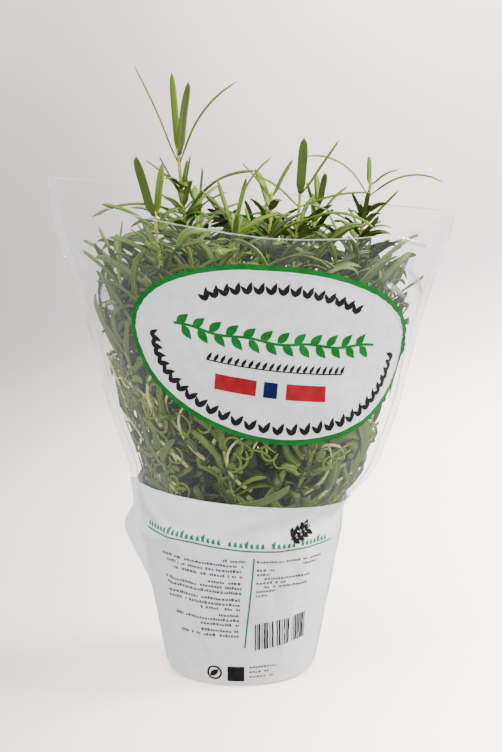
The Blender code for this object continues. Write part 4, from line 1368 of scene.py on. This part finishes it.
def leaf_look(name, light):
    """Leathery green over a pale midrib, finely wrinkled above and felted grey below."""

    # light scales every colour of the leaf. The low value makes a copy darkened as painted shade.
    def scaled_for_tone_and_shade(*colour):
        return tuple(part * light for part in colour)

    green = Surface(name)
    across, along = green.marked("across"), green.marked("along")
    tone, under, young = green.marked("tone"), green.marked("under"), green.marked("young")
    mottle = green.noise(260, 4, 0.6)
    deep = tone.blend(scaled_for_tone_and_shade(0.013, 0.036, 0.001), scaled_for_tone_and_shade(0.040, 0.080, 0.002))
    fresh = tone.blend(scaled_for_tone_and_shade(0.080, 0.150, 0.002), scaled_for_tone_and_shade(0.150, 0.235, 0.005))
    blade = young.blend(deep, fresh)
    blade = (mottle.between(0.4, 0.75) * 0.35).blend(blade, scaled_for_tone_and_shade(0.10, 0.165, 0.010))
    rib = across.size().between(0.15, 0.03) * along.between(1.0, 0.55)
    rib_colour = (rib * 0.6).blend(blade, scaled_for_tone_and_shade(0.26, 0.34, 0.05))
    stalk = along.between(0.16, 0.0)
    stalked = (stalk * 0.8).blend(rib_colour, scaled_for_tone_and_shade(0.26, 0.33, 0.04))
    felt = mottle.blend(scaled_for_tone_and_shade(0.055, 0.095, 0.012), scaled_for_tone_and_shade(0.12, 0.17, 0.04))
    tipped = (along.between(0.965, 1.0) * 0.6).blend(stalked, scaled_for_tone_and_shade(0.12, 0.08, 0.02))
    green.set(base_color=under.blend(tipped, felt), roughness=under * 0.4 + mottle * 0.18 + 0.34)
    green.shader.inputs["Specular IOR Level"].default_value = 0.3
    green.bump(green.noise(1500, 2) + mottle * 0.6, 0.00022, 0.55)
    return green.material


def stem_look(name, pale):
    """Young square stems: yellow-green, streaked, turning woody and brown at the foot."""
    bark = Surface(name)
    along = bark.marked("along")
    streak = bark.noise(340, 4, 0.65)
    greens = (0.22, 0.29, 0.03), (0.38, 0.43, 0.07)
    if pale:
        greens = (0.42, 0.44, 0.10), (0.62, 0.62, 0.22)
    streaked = streak.between(0.35, 0.7)
    young = streaked.blend(*greens)
    woody = streaked.blend((0.13, 0.09, 0.03), (0.22, 0.17, 0.07))
    bark.set(base_color=along.between(0.02, 0.34).blend(woody, young), roughness=0.5)
    bark.bump(bark.noise(900, 3), 0.0003, 0.5)
    return bark.material


# The shaded copy is the same leaf with its colours darkened to 0.36 as painted shade.
leaf_green = leaf_look("rosemary_leaf", 0.80)
leaf_shaded = leaf_look("rosemary_leaf_shaded", 0.36)
stem_green = stem_look("rosemary_stem", False)
stem_pale = stem_look("rosemary_shoot", True)
STEM_SIDES = 12
STEM_STEP = 0.003


def stem_mesh(name, stem, nodes):
    points, along = [], []
    count = math.ceil(stem.length / STEM_STEP)
    for i in range(count + 1):
        distance = stem.length * i / count
        place, direction = stem.at(distance)
        first = stem.bearing(direction, stem.turn)
        second = direction.cross(first).normalized()
        half = STEM_WIDTH / 2 * (1 - 0.35 * ease(distance / stem.length))
        knot = max((math.exp(-(((distance - node) / 0.0016) ** 2)) for node in nodes), default=0)
        half *= 0.94 + 0.2 * knot
        for j in range(STEM_SIDES):
            t = 2 * math.pi * j / STEM_SIDES
            c, s = math.cos(t), math.sin(t)
            square = 1.12 / (abs(c) ** 3.2 + abs(s) ** 3.2) ** (1 / 3.2)
            points.append(place + (first * c + second * s) * half * square)
            along.append(distance / stem.length)
    faces = tube_faces(0, count + 1, STEM_SIDES)
    return mesh_object(name, points, faces, stem_green, {"along": along})


shade = random.Random(SEED + 2)
for spec, stem, grown, small in zip(CUTTINGS, stems, leaves, tufts):
    name = spec[0]
    twig = stem_mesh(name + "_stem", stem, sorted({leaf.distance for leaf in grown}))
    foliage = Foliage()
    for leaf in grown + small:
        root = leaf.spine[0] - leaf.outward * STEM_WIDTH * 0.3
        below_tip = stem.length - leaf.distance
        young = ease(1 - below_tip / 0.06) * 0.75 + 0.2 * shade.random()
        if leaf in small:
            young = 0.45 + 0.4 * shade.random()
        spine = [root] + leaf.spine[1:]
        foliage.add(spine, leaf.sides, leaf.uppers, leaf.width, shade.random(), young)
    leafage = foliage.made(name + "_leaves", leaf_green)
    for piece in (twig, leafage):
        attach(piece, "root")
        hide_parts(name)

# ---------------------------------------------------------------- leaves along the film
# Leaves that have grown against the sleeve and lie along it, more of them behind with painted shade, and
# leaves that arch over at its sides and over the crown. They belong to the cuttings.


def along_film(turn, height, heading, bend, length, insets, steps):
    """Points inside the film with the directions ahead and out. Insets are at root, middle and tip."""
    path = []
    root, middle, tip = insets
    for i in range(steps + 1):
        share = i / steps
        inset = root * (1 - share) ** 2 + 2 * middle * share * (1 - share) + tip * share**2
        place = sleeve_point(turn, height, inset)
        around = sleeve_point(turn + 0.01, height, inset) - sleeve_point(turn - 0.01, height, inset)
        rising = sleeve_point(turn, height + 0.001, inset) - sleeve_point(turn, height - 0.001, inset)
        angle = math.radians(heading + bend * share**1.3)
        ahead = around.normalized() * math.cos(angle) + rising.normalized() * math.sin(angle)
        path.append((place, ahead.normalized(), around.cross(rising).normalized()))
        turn += length / steps * math.cos(angle) * 0.02 / around.length
        height += length / steps * math.sin(angle) * rising.normalized().z
        height = max(POT_HEIGHT + 0.0035, height)
    return path


CORNER_DROP = 0.030
MIDRIB = 0.0005


def lay_leaves(
    name, look, count, heights, insets, lengths, widths, bends, tilt, youth, headings, seed,
    beside_seams, hangs,
):
    """Leaves along the film that keep their midribs apart. Those that hang arch over and down."""
    chance = random.Random(seed)
    foliage = Foliage()
    for _ in range(count):
        for _ in range(5):
            turn, height = chance.uniform(-math.pi, math.pi), chance.uniform(*heights)
            if chance.random() < beside_seams:
                turn = chance.choice((0, math.pi)) + chance.gauss(0, 0.22)
            rise = (height - heights[0]) / (heights[1] - heights[0])
            height -= CORNER_DROP * math.cos(turn) ** 6 * rise
            inset = chance.uniform(*insets)
            length, width = chance.uniform(*lengths), chance.uniform(*widths)
            heading = chance.uniform(*headings)
            hanging = -1 if math.cos(math.radians(heading)) > 0 else 1
            bend = chance.uniform(*bends) * (hanging if hangs else chance.choice((-1, 1)))
            depths = (inset + chance.uniform(0.002, 0.008), inset, inset + chance.uniform(0, 0.004))
            path = along_film(turn, height, heading, bend, length, depths, LEAF_STEPS)
            spots = [place for place, _, _ in path]
            if not free_room.blocks(spots, np.full(len(spots), MIDRIB), -1):
                break
        else:
            continue
        free_room.add(spots, np.full(len(spots), MIDRIB), -1, np.ones(len(spots), bool))
        lean = math.radians(chance.uniform(-tilt, tilt))
        face = 1 if chance.random() < 0.72 else -1
        sides, uppers = [], []
        for _, ahead, out in path:
            side = out.cross(ahead) * face
            side = (side * math.cos(lean) + out * math.sin(lean)).normalized()
            sides.append(side)
            uppers.append(ahead.cross(side))
        tone, young = chance.random(), chance.uniform(*youth)
        foliage.add(spots, sides, uppers, width, tone, young)
    piece = foliage.made(name, look)
    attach(piece, "root")


LOW = (POT_HEIGHT + 0.006, POT_HEIGHT + 0.060)
MIDDLE = (POT_HEIGHT + 0.046, POT_HEIGHT + 0.122)
CROWN = (POT_HEIGHT + 0.084, POT_HEIGHT + 0.136)
ANY_WAY = (-70, 250)
# Layers with leaf_shaded are coloured darker as painted shade, and shaded_leaves also keep to the deepest
# greens.
for layer in (
    ("pressed_leaves", leaf_green, 200, LOW, (0.0014, 0.0032), (0.018, 0.036), (0.0042, 0.0082),
     (10, 80), 14, (0.3, 0.85), ANY_WAY, 21, 0.22, False),
    ("pressed_leaves_behind", leaf_shaded, 260, LOW, (0.0050, 0.0150), (0.016, 0.034),
     (0.0034, 0.0064), (0, 90), 55, (0.2, 0.8), ANY_WAY, 22, 0.18, False),
    ("shaded_leaves", leaf_shaded, 220, LOW, (0.0150, 0.0340), (0.018, 0.036), (0.0040, 0.0070),
     (0, 90), 70, (0.0, 0.3), ANY_WAY, 23, 0.0, False),
    ("side_leaves", leaf_green, 330, MIDDLE, (0.0018, 0.0130), (0.022, 0.044), (0.0020, 0.0040),
     (40, 120), 50, (0.0, 0.5), (25, 155), 24, 0.42, True),
    ("side_leaves_behind", leaf_shaded, 230, MIDDLE, (0.0130, 0.0300), (0.022, 0.044),
     (0.0022, 0.0042), (40, 110), 65, (0.1, 0.6), (30, 150), 25, 0.25, True),
    ("crown_leaves", leaf_green, 230, CROWN, (0.0050, 0.0450), (0.024, 0.046), (0.0020, 0.0038),
     (50, 130), 60, (0.0, 0.4), (40, 140), 26, 0.0, True),
    ("crown_leaves_shaded", leaf_shaded, 200, CROWN, (0.0150, 0.0450), (0.022, 0.042),
     (0.0022, 0.0042), (40, 120), 65, (0.2, 0.8), (40, 140), 27, 0.0, True),
):
    lay_leaves(*layer)

# ---------------------------------------------------------------- curled shoots
# Pale side shoots that found no light: thin, soft and curled up against the film, with leaves like
# threads over their outer half.


def curled_shoots(count, seed):
    chance = random.Random(seed)
    threads = Foliage()
    points, faces, along = [], [], []
    steps, sides = 22, 8
    for _ in range(count):
        turn, height = chance.uniform(-math.pi, math.pi), chance.uniform(*LOW)
        length, inset = chance.uniform(0.030, 0.060), chance.uniform(0.0014, 0.0040)
        heading, bend = chance.uniform(20, 160), chance.uniform(60, 230) * chance.choice((-1, 1))
        depths = (inset + chance.uniform(0.004, 0.014), inset, inset + chance.uniform(0, 0.003))
        path = along_film(turn, height, heading, bend, length, depths, steps)
        girth = chance.uniform(0.0009, 0.0015)
        for i, (place, ahead, out) in enumerate(path):
            side = out.cross(ahead)
            half = girth * (1 - 0.6 * i / steps)
            for j in range(sides):
                t = 2 * math.pi * j / sides
                around = side * math.cos(t) + out * math.sin(t)
                points.append(keep_in(place + around * half, LEAF_EDGE_TO_FILM))
                along.append(1.0)
        faces += tube_faces(len(points) - (steps + 1) * sides, steps + 1, sides)
        for _ in range(chance.randint(2, 5)):
            at = chance.uniform(0.35, 0.95)
            near = along_film(turn, height, heading, bend, length * at, depths, 6)[-1][0]
            here = outline_turn(near, near.z)
            way = heading + bend * at**1.3 + chance.uniform(-70, 70)
            curl = chance.uniform(60, 330) * chance.choice((-1, 1))
            reach = chance.uniform(0.012, 0.026)
            leaf = along_film(here, near.z, way, curl, reach, (inset, inset, inset), 12)
            across = [out.cross(ahead) for _, ahead, out in leaf]
            uppers = [out for _, _, out in leaf]
            spine = [place for place, _, _ in leaf]
            width = chance.uniform(0.0009, 0.0017)
            threads.add(spine, across, uppers, width, 0.8, 1.0)
    for piece in (
        mesh_object("curled_shoots", points, faces, stem_pale, {"along": along}),
        threads.made("curled_shoot_leaves", leaf_green),
    ):
        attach(piece, "root")


curled_shoots(44, 31)
